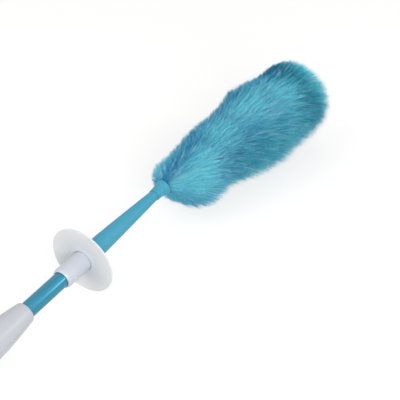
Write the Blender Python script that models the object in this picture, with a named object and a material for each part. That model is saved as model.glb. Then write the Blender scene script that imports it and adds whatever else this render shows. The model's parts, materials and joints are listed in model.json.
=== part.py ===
"""A battery-driven spinning hand duster, lying on a table as it is put down.

Lengths run along the duster's own axis, local +X, from the rear face of the guard disc at zero
towards the fibre head. The handle is on the negative side. The whole part is then tilted so that
the guard's rim and the handle's end rest on z = 0.
"""

import math
import random

import bmesh
import bpy
import numpy as np
from mathutils import Vector

# Clearances
GAP = 0.0003
SPIN_GAP = 0.0006

# How far a hidden cutter runs past what it cuts, and what counts as one point
OVERRUN = 0.001
MERGE = 1e-6

# Round pieces and curves
SHARP_ANGLE = math.radians(35.0)
SPLINE_SAMPLES = 24
GUARD_SEGMENTS = 48
SEGMENTS = 28
MEDIUM_SEGMENTS = 24
SMALL_SEGMENTS = 16
TINY_SEGMENTS = 10

# Guard disc
GUARD_RADIUS = 0.048
GUARD_THICKNESS = 0.002
GUARD_EDGE = 0.0005
GUARD_RING_RADIUS = 0.0187
GUARD_RING_HEIGHT = 0.0012

# Collar between the tube and the guard
COLLAR_RADIUS = 0.0143
COLLAR_LENGTH = 0.044
COLLAR_LIP_LENGTH = 0.004
COLLAR_LIP_WALL = 0.0011
COLLAR_WEB = 0.014
COLLAR_EDGE = 0.0006
SPIGOT_RADIUS = 0.012
SNAP_HEIGHT = 0.0006
SNAP_LENGTH = 0.0012
SPIGOT_TAIL = 0.0007

# Extension tube
TUBE_RADIUS = 0.011
TUBE_WALL = 0.0008
TUBE_EXPOSED = 0.0705

# Drive rod, its bushes and its six-sided end
ROD_RADIUS = 0.002
FRONT_BUSH_RADIUS = 0.006
BUSH_FLANGE_RADIUS = 0.0076
BUSH_FLANGE_THICKNESS = 0.0012
REAR_BUSH_LENGTH = 0.010
HEX_ACROSS_FLATS = 0.008
HEX_LENGTH = 0.019
HEX_NOSE = 0.006
CLIP_WIDTH = 0.0016
CLIP_THICKNESS = 0.0006

# Neck and hub of the head
NECK_REAR_RADIUS = 0.0139
NECK_FRONT_RADIUS = 0.0073
NECK_BULGE = 0.0004
NECK_WALL = 0.0016
NECK_FRONT = 0.158
NECK_SKIRT_LENGTH = 0.004
NECK_SKIRT_WALL = 0.0008
NECK_SOCKET_LENGTH = 0.030
NECK_SOCKET_CONE = 0.004
NECK_STEPS = 5
HUB_LENGTH = 0.022
HUB_END_WALL = 0.003

# Ferrule and core of the head
FERRULE_LENGTH = 0.0217
FERRULE_REAR_RADIUS = 0.0083
FERRULE_MOUTH_RADIUS = 0.0120
FERRULE_WALL = 0.0011
FERRULE_WEB = 0.0047
FERRULE_EDGE = 0.0005
# Shares of the length and of the widening, along the ferrule's trumpet shape
FERRULE_FLARE = ((0.40, 0.10), (0.72, 0.48))
CORE_RADIUS = 0.004
CORE_TIP_RADIUS = 0.0048
CORE_TIP_LENGTH = 0.006
CORE_TIP_STEPS = 3

# Fibre pile on the core
SLEEVE_RADIUS = 0.006
PILE_ROWS = 27
ROWS_PER_NODE = 7
LOCKS_PER_ROW = 12
ROW_PITCH = 0.0107
ROOT_LENGTH = 0.0026
SLEEVE_MARGIN = 0.001
FIRST_ROW_AFTER_FERRULE = 0.002
LOCK_WIDTH = 0.0040
LOCK_DEPTH = 0.0024
LOCK_JOINTS = (0.5,)
LOCK_SWEEP = 1.35
LOCK_SWING = 0.05
LOCK_SCATTER = 0.002
SHORTEST_LOCK = 0.94
LOCK_CLEARANCE = 0.003
# Radius of the pile at chosen places along the axis, and its sideways droop
PILE_PLACES = (0.184, 0.200, 0.225, 0.280, 0.340, 0.383, 0.435, 0.476, 0.495, 0.504, 0.509)
PILE_RADII = (0.023, 0.037, 0.047, 0.050, 0.057, 0.066, 0.060, 0.058, 0.051, 0.032, 0.012)
DROOP_PLACES = (0.180, 0.220, 0.280, 0.330, 0.380, 0.450)
DROOP_SIZES = (0.0, 0.017, 0.018, 0.024, 0.028, 0.032)
DROOP_DIRECTION = (0.0, -0.92, -0.392)
DROOP_FULL_RADIUS = 0.045
FIRST_TIP = 0.190
LAST_TIP = 0.506
TIP_CROWDING = 1.25

# Handle shells
MOUTH_RADIUS = 0.0143
GRIP_RADIUS = 0.0215
FLARE_LENGTH = 0.080
SHELL_LENGTH = 0.176
SHELL_WALL = 0.002
PARTING_GAP = GAP
MOUTH_RING = 0.006
MOUTH_EDGE = 0.0012
RIB = 0.003
STOP_STEP = 0.0015
FLARE_STEPS = 6

# Gearbox
MODULE = 0.0007
WHEEL_TEETH = 20
PINION_TEETH = 9
PRESSURE_ANGLE = math.radians(25.0)
ADDENDUM = 0.8
DEDENDUM = 1.15
BACKLASH = 0.00022
FACE_WIDTH = 0.004
STAGE_SPACE = 0.0016
GEAR_SIDE_SPACE = 0.0012
PLATE_THICKNESS = 0.002
GEARBOX_START = 0.010
PILLAR_RADIUS = 0.0022
PILLAR_CIRCLE = 0.0142
PILLAR_ANGLES = (35.0, 90.0, 145.0)
IDLER_PIN_RADIUS = 0.0012
SMALL_SCREW_RADIUS = 0.0008
SMALL_SCREW_HEAD = 0.0016
SMALL_SCREW_HEAD_HEIGHT = 0.001

# Motor
MOTOR_RADIUS = 0.012
MOTOR_LENGTH = 0.0308
MOTOR_BOSS_RADIUS = 0.003
MOTOR_BOSS_LENGTH = 0.0010
MOTOR_SHAFT_RADIUS = 0.001
MOTOR_SHAFT_DEPTH = 0.003
MOTOR_EDGE = 0.0008
TERMINAL_OFFSET = 0.0045
TERMINAL_SIZE = (0.003, 0.0005, 0.0020)

# Screws that join the handle shells
BOSS_RADIUS = 0.0032
BOSS_OFFSET = 0.0125
SCREW_RADIUS = 0.00095
SCREW_HEAD_RADIUS = 0.00195
SCREW_HEAD_HEIGHT = 0.0016
SCREW_SEAT = 0.008
SCREW_REACH = 0.007

# Switch and button
BUTTON_BEFORE_MOTOR_BACK = 0.0171
BUTTON_RADIUS = 0.0053
BUTTON_FLANGE_RADIUS = 0.0066
BUTTON_FLANGE_THICKNESS = 0.0007
BUTTON_STAND = 0.0012
BUTTON_TRAVEL = 0.0012
# Depth below the button's top and share of its radius, along its rounded crown
BUTTON_CROWN = ((0.0008, 1.0), (0.0002, 0.82), (0.0, 0.45))
PLUNGER_RADIUS = 0.0015
BOARD_SIZE = (0.018, 0.016, 0.001)
SWITCH_SIZE = (0.0062, 0.0062, 0.0021)
POST_SIZE = (0.008, 0.0012)

# Battery bay and its cartridge
WIRING_SPACE = 0.0130
BULKHEAD_THICKNESS = 0.0015
CONTACT_SPACE = 0.0018
CELL_RADIUS = 0.00725
CELL_LENGTH = 0.0505
CELL_NUB_RADIUS = 0.00275
CELL_NUB_LENGTH = 0.001
CELL_OFFSET = 0.0076
STRIP_THICKNESS = 0.0004
STRIP_WIDTH = 0.007
SPRING_LENGTH = 0.0040
SPRING_TURNS = 2.5
SPRING_POINTS_PER_TURN = 6
SPRING_WIRE_RADIUS = 0.00035
SPRING_RADII = (0.0033, 0.0024)
TRAY_PLATE = 0.0018
COLUMN_RADIUS = 0.003
RAIL_SIZE = (0.0022, 0.005)
RAIL_OFFSET = 0.0161
CAP_LENGTH = 0.018
CAP_WALL = 0.0025
CAP_PLUG_LENGTH = 0.005
CAP_PLUG_WALL = 0.0015
CAP_LEDGE = 0.0011
CAP_FILLET = 0.003
CAP_FILLET_STEPS = 4
REST_FLAT_DEPTH = 0.0012
LEAF_SIZE = (0.0004, 0.004, 0.006)

# Wires
WIRE_RADIUS = 0.0006
WIRE_STEP = 0.0015
# Sideways place and height at which the leads of the switch pass the motor's stop
WIRE_PASS = (0.0042, 0.0085)

# Places along the axis that follow from the sizes above
MOUTH = -(COLLAR_LENGTH + TUBE_EXPOSED)
TUBE_FRONT = -(COLLAR_WEB + GAP)
SPIGOT_END = GUARD_THICKNESS + GAP + SNAP_LENGTH + SPIGOT_TAIL
BUSH_FRONT = SPIGOT_END + GAP + BUSH_FLANGE_THICKNESS
HEX_START = BUSH_FRONT + SPIN_GAP
HEX_END = HEX_START + HEX_LENGTH
NECK_REAR = GUARD_THICKNESS + SPIN_GAP
FERRULE_REAR = NECK_FRONT + GAP
FERRULE_MOUTH = FERRULE_REAR + FERRULE_LENGTH
SLEEVE_START = FERRULE_REAR + FERRULE_WEB + GAP
FIRST_ROW = FERRULE_MOUTH + FIRST_ROW_AFTER_FERRULE
LAST_ROW = FIRST_ROW + ROW_PITCH * (PILE_ROWS - 1)
SLEEVE_END = LAST_ROW + ROOT_LENGTH + SLEEVE_MARGIN
CORE_REAR = NECK_FRONT - NECK_SOCKET_LENGTH + GAP
CORE_FRONT = SLEEVE_END
GEAR_CENTRES = MODULE * (WHEEL_TEETH + PINION_TEETH) / 2
SHELL_REAR = MOUTH - SHELL_LENGTH
CAP_FRONT = SHELL_REAR - GAP
CAP_REAR = CAP_FRONT - CAP_LENGTH
CAP_PLUG_FRONT = SHELL_REAR + CAP_PLUG_LENGTH
BAY_LENGTH = CELL_LENGTH + SPRING_LENGTH + 2 * STRIP_THICKNESS + 4 * GAP
TRAY_REAR = CAP_PLUG_FRONT - CAP_PLUG_LENGTH / 2
TRAY_REAR_FACE = TRAY_REAR + TRAY_PLATE
TRAY_FRONT_FACE = TRAY_REAR_FACE + BAY_LENGTH
TRAY_FRONT = TRAY_FRONT_FACE + TRAY_PLATE
BULKHEAD_BACK = TRAY_FRONT + CONTACT_SPACE
BULKHEAD_FRONT = BULKHEAD_BACK + BULKHEAD_THICKNESS
MOTOR_BACK = BULKHEAD_FRONT + WIRING_SPACE
MOTOR_STOP = MOTOR_BACK - GAP
MOTOR_FRONT = MOTOR_BACK + MOTOR_LENGTH
BACK_PLATE_BACK = MOTOR_FRONT + GAP
BACK_PLATE_FRONT = BACK_PLATE_BACK + PLATE_THICKNESS
MOTOR_RIB_FRONT = BACK_PLATE_BACK - SMALL_SCREW_HEAD_HEIGHT - 2 * GAP
INPUT_BACK = BACK_PLATE_FRONT + GEAR_SIDE_SPACE
INPUT_FRONT = INPUT_BACK + FACE_WIDTH
OUTPUT_BACK = INPUT_FRONT + STAGE_SPACE
OUTPUT_FRONT = OUTPUT_BACK + FACE_WIDTH
PLATE_BACK = OUTPUT_FRONT + GEAR_SIDE_SPACE
GEARBOX_FRONT = PLATE_BACK + PLATE_THICKNESS
TUBE_REAR = GEARBOX_FRONT + GEARBOX_START
REAR_FLANGE_BACK = TUBE_REAR - GAP - BUSH_FLANGE_THICKNESS
BUTTON_PLACE = MOTOR_BACK + BUTTON_BEFORE_MOTOR_BACK
PLUG_RADIUS = GRIP_RADIUS - SHELL_WALL - GAP
PLUG_BORE = PLUG_RADIUS - CAP_PLUG_WALL
FRONT_BOSS = GEARBOX_FRONT + 2 * GAP + BOSS_RADIUS
REAR_BOSS = MOTOR_STOP - RIB - BOSS_RADIUS - GAP
GUARD_REST = GUARD_RADIUS * math.cos(math.pi / GUARD_SEGMENTS)
TILT = math.atan((GUARD_REST - GRIP_RADIUS + REST_FLAT_DEPTH) / (GUARD_EDGE - CAP_REAR))


def finish(name, colour, roughness, metallic=0.0):
    """Return a Principled material."""
    material = bpy.data.materials.new(name)
    material.use_nodes = True
    shader = material.node_tree.nodes["Principled BSDF"]
    shader.inputs["Base Color"].default_value = (*colour, 1.0)
    shader.inputs["Roughness"].default_value = roughness
    shader.inputs["Metallic"].default_value = metallic
    material.diffuse_color = (*colour, 1.0)
    return material


def place(name, mesh, material, parent, smooth=True):
    """Make an object of a mesh, give it its finish and hang it on its parent."""
    if smooth:
        mesh.shade_smooth()
        mesh.set_sharp_from_angle(angle=SHARP_ANGLE)
    piece = bpy.data.objects.new(name, mesh)
    piece.data.materials.append(material)
    bpy.context.scene.collection.objects.link(piece)
    piece.parent = parent
    return piece


def empty(name, parent=None, location=(0.0, 0.0, 0.0)):
    """Make an empty that carries pieces."""
    carrier = bpy.data.objects.new(name, None)
    bpy.context.scene.collection.objects.link(carrier)
    carrier.parent = parent
    carrier.location = location
    return carrier


def mesh_of(name, bm, recalculate=True):
    """Turn a bmesh into a mesh whose faces point outwards."""
    if recalculate:
        bmesh.ops.recalc_face_normals(bm, faces=bm.faces)
    mesh = bpy.data.meshes.new(name)
    bm.to_mesh(mesh)
    bm.free()
    return mesh


def turned_mesh(name, profile, segments=SEGMENTS, sweep=2 * math.pi, axis="X", phase=0.0):
    """Spin a profile of (along, radius) points round an axis.

    A profile whose ends lie on the axis gives a solid, any other profile is closed on itself.
    A sweep under a full turn gets a flat face at each end.
    """
    bm = bmesh.new()
    solid = profile[0][1] == 0.0 and profile[-1][1] == 0.0
    verts = [bm.verts.new((x, r * math.cos(phase), r * math.sin(phase))) for x, r in profile]
    edges = [bm.edges.new(pair) for pair in zip(verts, verts[1:])]
    if not solid:
        edges.append(bm.edges.new((verts[-1], verts[0])))
    full = abs(sweep - 2 * math.pi) < MERGE
    bmesh.ops.spin(
        bm,
        geom=verts + edges,
        cent=(0.0, 0.0, 0.0),
        axis=(1.0, 0.0, 0.0),
        angle=sweep,
        steps=segments,
        use_merge=full,
    )
    bmesh.ops.remove_doubles(bm, verts=bm.verts, dist=MERGE)
    if not full:
        rims = [edge for edge in bm.edges if edge.is_boundary]
        bmesh.ops.contextual_create(bm, geom=rims)
    if axis == "Z":
        for vert in bm.verts:
            vert.co = Vector((vert.co.y, vert.co.z, vert.co.x))
    return mesh_of(name, bm)


def turned(name, profile, material, parent, segments=SEGMENTS, phase=0.0):
    """Make a turned piece about local X."""
    mesh = turned_mesh(name, profile, segments, phase=phase)
    return place(name, mesh, material, parent)


def rod(name, start, end, radius, material, parent, segments=SMALL_SEGMENTS):
    """Make a plain round rod along local X."""
    profile = [(start, 0.0), (start, radius), (end, radius), (end, 0.0)]
    return turned(name, profile, material, parent, segments)


def ring(name, start, end, bore, radius, material, parent, segments=SMALL_SEGMENTS):
    """Make a plain ring along local X."""
    profile = [(start, bore), (start, radius), (end, radius), (end, bore)]
    return turned(name, profile, material, parent, segments)


def block_into(bm, centre, size):
    """Add a box to a bmesh."""
    made = bmesh.ops.create_cube(bm, size=1.0)
    bmesh.ops.scale(bm, vec=size, verts=made["verts"])
    bmesh.ops.translate(bm, vec=centre, verts=made["verts"])


def block(name, centre, size, material, parent):
    """Make a plain rectangular piece."""
    bm = bmesh.new()
    block_into(bm, centre, size)
    return place(name, mesh_of(name, bm), material, parent, smooth=False)


def prism_into(bm, outline, start, end):
    """Add a prism along local X to a bmesh, its outline given as (y, z) points."""
    face = bm.faces.new([bm.verts.new((start, y, z)) for y, z in outline])
    made = bmesh.ops.extrude_face_region(bm, geom=[face])
    moved = [item for item in made["geom"] if isinstance(item, bmesh.types.BMVert)]
    bmesh.ops.translate(bm, vec=(end - start, 0.0, 0.0), verts=moved)


def circle(radius, centre=(0.0, 0.0), count=TINY_SEGMENTS):
    """Return the (y, z) points of a circle."""
    angles = [2 * math.pi * (step + 0.5) / count for step in range(count)]
    return [(centre[0] + radius * math.cos(a), centre[1] + radius * math.sin(a)) for a in angles]


def tool(name, mesh, parent):
    """Make a hidden object that only cuts or joins."""
    helper = bpy.data.objects.new(name, mesh)
    bpy.context.scene.collection.objects.link(helper)
    helper.parent = parent
    helper.hide_render = True
    helper.display_type = "WIRE"
    return helper


def prism_tool(name, prisms, parent):
    """Make a hidden tool of several prisms along local X, each (outline, start, end)."""
    bm = bmesh.new()
    for outline, start, end in prisms:
        prism_into(bm, outline, start, end)
    return tool(name, mesh_of(name, bm), parent)


def combine(piece, helper, operation):
    """Give a piece an exact Boolean with a hidden tool."""
    modifier = piece.modifiers.new(helper.name, "BOOLEAN")
    modifier.operation = operation
    modifier.solver = "EXACT"
    modifier.object = helper


def smooth_path(points, step):
    """Return points every step along a Catmull-Rom curve through the given points."""
    knots = np.array([points[0], *points, points[-1]], dtype=float)
    dense = []
    for a, b, c, d in zip(knots, knots[1:], knots[2:], knots[3:]):
        for t in np.linspace(0.0, 1.0, SPLINE_SAMPLES, endpoint=False):
            bend = 2 * a - 5 * b + 4 * c - d
            turn = 3 * (b - c) + d - a
            dense.append(0.5 * (2 * b + (c - a) * t + bend * t**2 + turn * t**3))
    dense = np.array([*dense, knots[-1]])
    run = np.concatenate([[0.0], np.cumsum(np.linalg.norm(np.diff(dense, axis=0), axis=1))])
    places = np.linspace(0.0, run[-1], max(3, round(run[-1] / step)) + 1)
    return np.column_stack([np.interp(places, run, dense[:, axis]) for axis in range(3)])


def wire(name, points, radius, material, parent, resolution=2):
    """Make a round wire through points, as a curve with filled caps."""
    curve = bpy.data.curves.new(name, "CURVE")
    curve.dimensions = "3D"
    curve.bevel_depth = radius
    curve.bevel_resolution = resolution
    curve.use_fill_caps = True
    spline = curve.splines.new("POLY")
    spline.points.add(len(points) - 1)
    for point, place_at in zip(spline.points, points):
        point.co = (*place_at, 1.0)
    curve.materials.append(material)
    piece = bpy.data.objects.new(name, curve)
    bpy.context.scene.collection.objects.link(piece)
    piece.parent = parent
    return piece


def gear_outline(teeth, pointing):
    """Return the (y, z) outline of a spur gear with one tooth centred on the angle pointing.

    Each flank is a chord of the base circle's involute, from the base circle to the tip.
    """
    pitch = teeth * MODULE / 2
    base = pitch * math.cos(PRESSURE_ANGLE)
    tip = pitch + ADDENDUM * MODULE
    root = pitch - DEDENDUM * MODULE
    half_tooth = math.pi / (2 * teeth) - BACKLASH / (2 * pitch)

    def involute(radius):
        angle = math.acos(min(1.0, base / radius))
        return math.tan(angle) - angle

    def flank(radius):
        return half_tooth + involute(pitch) - involute(max(radius, base))

    radii = [root, base, tip] if root < base else [root, tip]
    points = []
    for tooth in range(teeth):
        middle = pointing + 2 * math.pi * tooth / teeth
        for radius in radii:
            angle = middle - flank(radius)
            points.append((radius * math.cos(angle), radius * math.sin(angle)))
        for radius in reversed(radii):
            angle = middle + flank(radius)
            points.append((radius * math.cos(angle), radius * math.sin(angle)))
    return points


def gear(name, teeth, pointing, start, end, bore, material, parent):
    """Make a spur gear with a round bore."""
    bm = bmesh.new()
    prism_into(bm, gear_outline(teeth, pointing), start, end)
    piece = place(name, mesh_of(name, bm), material, parent, smooth=False)
    hole = prism_tool(name + "_bore", [(circle(bore), start - OVERRUN, end + OVERRUN)], parent)
    combine(piece, hole, "DIFFERENCE")
    return piece


def shell_radius(x):
    """Outer radius of the handle: a quarter sine from the mouth out to the grip."""
    share = min(1.0, max(0.0, (MOUTH - x) / FLARE_LENGTH))
    return MOUTH_RADIUS + (GRIP_RADIUS - MOUTH_RADIUS) * math.sin(math.pi / 2 * share)


def shell_bore(x):
    """Inner radius of the handle's wall."""
    return shell_radius(x) - SHELL_WALL


def neck_radius(x):
    """Outer radius of the neck: a straight taper with a slight bulge."""
    share = (x - NECK_REAR) / (NECK_FRONT - NECK_REAR)
    taper = NECK_REAR_RADIUS + (NECK_FRONT_RADIUS - NECK_REAR_RADIUS) * share
    return taper + NECK_BULGE * math.sin(math.pi * share)


def pile_reach(x, angle):
    """Distance from the axis to the pile's surface, a circle whose centre droops sideways."""
    radius = float(np.interp(x, PILE_PLACES, PILE_RADII))
    shift = float(np.interp(x, DROOP_PLACES, DROOP_SIZES)) * min(1.0, radius / DROOP_FULL_RADIUS)
    towards = DROOP_DIRECTION[1] * math.cos(angle) + DROOP_DIRECTION[2] * math.sin(angle)
    across = max(0.0, 1.0 - towards**2)
    return shift * towards + math.sqrt(max(1e-8, radius**2 - shift**2 * across))


def make_materials():
    """Return every finish of the duster by name."""
    return {
        "handle_white": finish("handle_white", (0.70, 0.72, 0.77), 0.35),
        "collar_white": finish("collar_white", (0.66, 0.69, 0.76), 0.30),
        "guard_white": finish("guard_white", (0.76, 0.76, 0.78), 0.35),
        "tube_blue": finish("tube_blue", (0.06, 0.26, 0.37), 0.20, 0.9),
        "neck_blue": finish("neck_blue", (0.05, 0.32, 0.45), 0.50),
        "ferrule_blue": finish("ferrule_blue", (0.05, 0.33, 0.46), 0.45),
        "fibre_blue": finish("fibre_blue", (0.10, 0.42, 0.53), 0.85),
        "core_white": finish("core_white", (0.60, 0.66, 0.68), 0.5),
        "steel": finish("steel", (0.55, 0.55, 0.56), 0.3, 1.0),
        "motor_can": finish("motor_can", (0.50, 0.50, 0.50), 0.35, 1.0),
        "brass": finish("brass", (0.70, 0.52, 0.22), 0.3, 1.0),
        "nylon": finish("nylon", (0.75, 0.73, 0.65), 0.45),
        "dark_plastic": finish("dark_plastic", (0.03, 0.03, 0.035), 0.5),
        "board_green": finish("board_green", (0.03, 0.16, 0.07), 0.5),
        "cell_sleeve": finish("cell_sleeve", (0.30, 0.33, 0.36), 0.35, 0.3),
        "wire_red": finish("wire_red", (0.45, 0.02, 0.02), 0.45),
        "wire_black": finish("wire_black", (0.02, 0.02, 0.02), 0.45),
        "button_blue": finish("button_blue", (0.05, 0.32, 0.45), 0.55),
    }


def make_shells(finishes, parent):
    """Two half shells with ribs, screw bosses, the button's hole and the switch posts."""
    ribs = [
        (TUBE_REAR + 2 * RIB, TUBE_RADIUS + GAP),
        (REAR_FLANGE_BACK - GAP, BUSH_FLANGE_RADIUS + GAP),
        (GEARBOX_FRONT + GAP + RIB, PILLAR_CIRCLE),
        (MOTOR_RIB_FRONT, MOTOR_RADIUS + GAP),
        (MOTOR_BACK + 2 * RIB, MOTOR_RADIUS + GAP),
        (MOTOR_STOP, MOTOR_RADIUS - STOP_STEP),
        (BULKHEAD_FRONT + GAP + RIB, PLUG_RADIUS - 2 * STOP_STEP),
    ]
    outer = [(MOUTH - MOUTH_EDGE / 3, MOUTH_RADIUS - MOUTH_EDGE / 3)]
    for step in range(1, FLARE_STEPS + 1):
        x = MOUTH - MOUTH_EDGE - (FLARE_LENGTH - MOUTH_EDGE) * (step - 1) / (FLARE_STEPS - 1)
        outer.append((x, shell_radius(x)))
    outer.append((SHELL_REAR, GRIP_RADIUS))
    inner = [(MOUTH, TUBE_RADIUS + GAP)]
    inner.append((MOUTH - MOUTH_RING, TUBE_RADIUS + GAP))
    inner.append((MOUTH - MOUTH_RING, shell_bore(MOUTH - MOUTH_RING)))
    for front, bore in ribs:
        back = front - RIB
        inner += [(front, shell_bore(front)), (front, bore), (back, bore), (back, shell_bore(back))]
    inner.append((SHELL_REAR, GRIP_RADIUS - SHELL_WALL))
    mouth = [(MOUTH, MOUTH_RADIUS - MOUTH_EDGE)]
    profile = inner + outer[::-1] + mouth
    halves = []
    for name, side in (("handle_shell_top", 1), ("handle_shell_bottom", -1)):
        start = 0.0 if side > 0 else math.pi
        mesh = turned_mesh(name, profile, SEGMENTS // 2, math.pi, phase=start)
        half = place(name, mesh, finishes["handle_white"], parent)
        half.location.z = side * PARTING_GAP / 2
        combine(half, boss_tool(name + "_bosses", side, half), "UNION")
        combine(half, screw_hole_tool(name + "_holes", side, half), "DIFFERENCE")
        halves.append(half)
    top = halves[0]
    combine(top, post_tool(top), "UNION")
    hole = turned_mesh(
        "button_hole",
        [
            (MOTOR_RADIUS, 0.0),
            (MOTOR_RADIUS, BUTTON_RADIUS + GAP),
            (GRIP_RADIUS + OVERRUN, BUTTON_RADIUS + GAP),
            (GRIP_RADIUS + OVERRUN, 0.0),
        ],
        SMALL_SEGMENTS,
        axis="Z",
    )
    cutter = tool("button_hole", hole, top)
    cutter.location.x = BUTTON_PLACE
    combine(top, cutter, "DIFFERENCE")


def boss_places():
    """Return the (x, y) place of each shell screw."""
    return [(x, y) for x in (FRONT_BOSS, REAR_BOSS) for y in (-BOSS_OFFSET, BOSS_OFFSET)]


def boss_tool(name, side, parent):
    """Screw bosses that run from the parting plane up into the shell's wall."""
    bm = bmesh.new()
    for x, y in boss_places():
        outline = circle(BOSS_RADIUS, (x, y), SMALL_SEGMENTS)
        face = bm.faces.new([bm.verts.new((px, py, 0.0)) for px, py in outline])
        made = bmesh.ops.extrude_face_region(bm, geom=[face])
        for item in made["geom"]:
            if isinstance(item, bmesh.types.BMVert):
                radius = shell_radius(item.co.x) - SHELL_WALL / 2
                item.co.z = side * math.sqrt(radius**2 - item.co.y**2)
    return tool(name, mesh_of(name, bm), parent)


def screw_hole_tool(name, side, parent):
    """Pilot holes in the top shell, stepped holes for shank and head in the bottom one."""
    bore = SCREW_RADIUS + GAP
    if side > 0:
        deep = SCREW_REACH + OVERRUN
        profile = [(-OVERRUN, 0.0), (-OVERRUN, bore), (deep, bore), (deep, 0.0)]
    else:
        wide = SCREW_HEAD_RADIUS + GAP
        deep = -(GRIP_RADIUS + OVERRUN)
        profile = [
            (deep, 0.0),
            (deep, wide),
            (-SCREW_SEAT, wide),
            (-SCREW_SEAT, bore),
            (OVERRUN, bore),
            (OVERRUN, 0.0),
        ]
    bm = bmesh.new()
    for x, y in boss_places():
        mesh = turned_mesh(name, profile, TINY_SEGMENTS, axis="Z")
        for vert in mesh.vertices:
            vert.co += Vector((x, y, 0.0))
        bm.from_mesh(mesh)
        bpy.data.meshes.remove(mesh)
    return tool(name, mesh_of(name, bm), parent)


def post_tool(parent):
    """Two posts under the top shell that press the switch board on the motor."""
    low = MOTOR_RADIUS + 2 * GAP + BOARD_SIZE[2]
    offset = BOARD_SIZE[1] / 2 - POST_SIZE[1] / 2
    high = math.sqrt((GRIP_RADIUS - SHELL_WALL / 2) ** 2 - (offset + POST_SIZE[1]) ** 2)
    bm = bmesh.new()
    for side in (-1, 1):
        centre = (BUTTON_PLACE, side * offset, (low + high) / 2)
        block_into(bm, centre, (POST_SIZE[0], POST_SIZE[1], high - low))
    return tool("switch_posts", mesh_of("switch_posts", bm), parent)


def make_shell_screws(finishes, parent):
    """Four alike screws, put in from below."""
    head = -SCREW_SEAT - GAP
    profile = [
        (head - SCREW_HEAD_HEIGHT, 0.0),
        (head - SCREW_HEAD_HEIGHT, SCREW_HEAD_RADIUS * 0.8),
        (head - SCREW_HEAD_HEIGHT * 0.6, SCREW_HEAD_RADIUS),
        (head, SCREW_HEAD_RADIUS),
        (head, SCREW_RADIUS),
        (SCREW_REACH - SCREW_RADIUS, SCREW_RADIUS),
        (SCREW_REACH, 0.0),
    ]
    for number, (x, y) in enumerate(boss_places(), start=1):
        mesh = turned_mesh("shell_screw", profile, TINY_SEGMENTS, axis="Z")
        screw = place(f"shell_screw_{number}", mesh, finishes["steel"], parent)
        screw.location = (x, y, 0.0)


def make_tube_and_collar(finishes, parent):
    """The extension tube, the two bushes of the drive rod, the collar and the guard."""
    ring(
        "extension_tube",
        TUBE_REAR,
        TUBE_FRONT,
        TUBE_RADIUS - TUBE_WALL,
        TUBE_RADIUS,
        finishes["tube_blue"],
        parent,
        SEGMENTS,
    )
    bush_bore = ROD_RADIUS + GAP
    plug = TUBE_RADIUS - TUBE_WALL - GAP
    rear_profile = [
        (REAR_FLANGE_BACK, bush_bore),
        (REAR_FLANGE_BACK, TUBE_RADIUS),
        (TUBE_REAR - GAP, TUBE_RADIUS),
        (TUBE_REAR - GAP, plug),
        (TUBE_REAR + REAR_BUSH_LENGTH, plug),
        (TUBE_REAR + REAR_BUSH_LENGTH, bush_bore),
    ]
    turned("rear_bush", rear_profile, finishes["nylon"], parent, SMALL_SEGMENTS)
    front_profile = [
        (-COLLAR_WEB + GAP, bush_bore),
        (-COLLAR_WEB + GAP, FRONT_BUSH_RADIUS),
        (SPIGOT_END + GAP, FRONT_BUSH_RADIUS),
        (SPIGOT_END + GAP, BUSH_FLANGE_RADIUS),
        (BUSH_FRONT, BUSH_FLANGE_RADIUS),
        (BUSH_FRONT, bush_bore),
    ]
    turned("front_bush", front_profile, finishes["nylon"], parent, SMALL_SEGMENTS)
    mouth_bore = TUBE_RADIUS + GAP
    snap_start = GUARD_THICKNESS + GAP
    collar_profile = [
        (-COLLAR_LENGTH, mouth_bore),
        (-COLLAR_LENGTH, mouth_bore + COLLAR_LIP_WALL),
        (-COLLAR_LENGTH + COLLAR_LIP_LENGTH * 0.5, COLLAR_RADIUS - COLLAR_EDGE),
        (-COLLAR_LENGTH + COLLAR_LIP_LENGTH, COLLAR_RADIUS),
        (-GAP - COLLAR_EDGE, COLLAR_RADIUS),
        (-GAP, COLLAR_RADIUS - COLLAR_EDGE),
        (-GAP, SPIGOT_RADIUS),
        (snap_start, SPIGOT_RADIUS),
        (snap_start, SPIGOT_RADIUS + SNAP_HEIGHT),
        (snap_start + SNAP_LENGTH, SPIGOT_RADIUS),
        (SPIGOT_END, SPIGOT_RADIUS - SPIGOT_TAIL),
        (SPIGOT_END, FRONT_BUSH_RADIUS + GAP),
        (-COLLAR_WEB, FRONT_BUSH_RADIUS + GAP),
        (-COLLAR_WEB, mouth_bore),
    ]
    turned("collar", collar_profile, finishes["collar_white"], parent)
    guard_profile = [
        (0.0, SPIGOT_RADIUS + GAP),
        (0.0, COLLAR_RADIUS + GAP),
        (-GUARD_RING_HEIGHT, COLLAR_RADIUS + GAP),
        (-GUARD_RING_HEIGHT, GUARD_RING_RADIUS - GUARD_RING_HEIGHT),
        (0.0, GUARD_RING_RADIUS),
        (0.0, GUARD_RADIUS - GUARD_EDGE),
        (GUARD_EDGE, GUARD_RADIUS),
        (GUARD_THICKNESS - GUARD_EDGE, GUARD_RADIUS),
        (GUARD_THICKNESS, GUARD_RADIUS - GUARD_EDGE),
        (GUARD_THICKNESS, SPIGOT_RADIUS + GAP),
    ]
    facet = math.pi / GUARD_SEGMENTS
    turned("guard_disc", guard_profile, finishes["guard_white"], parent, GUARD_SEGMENTS, facet)


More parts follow.
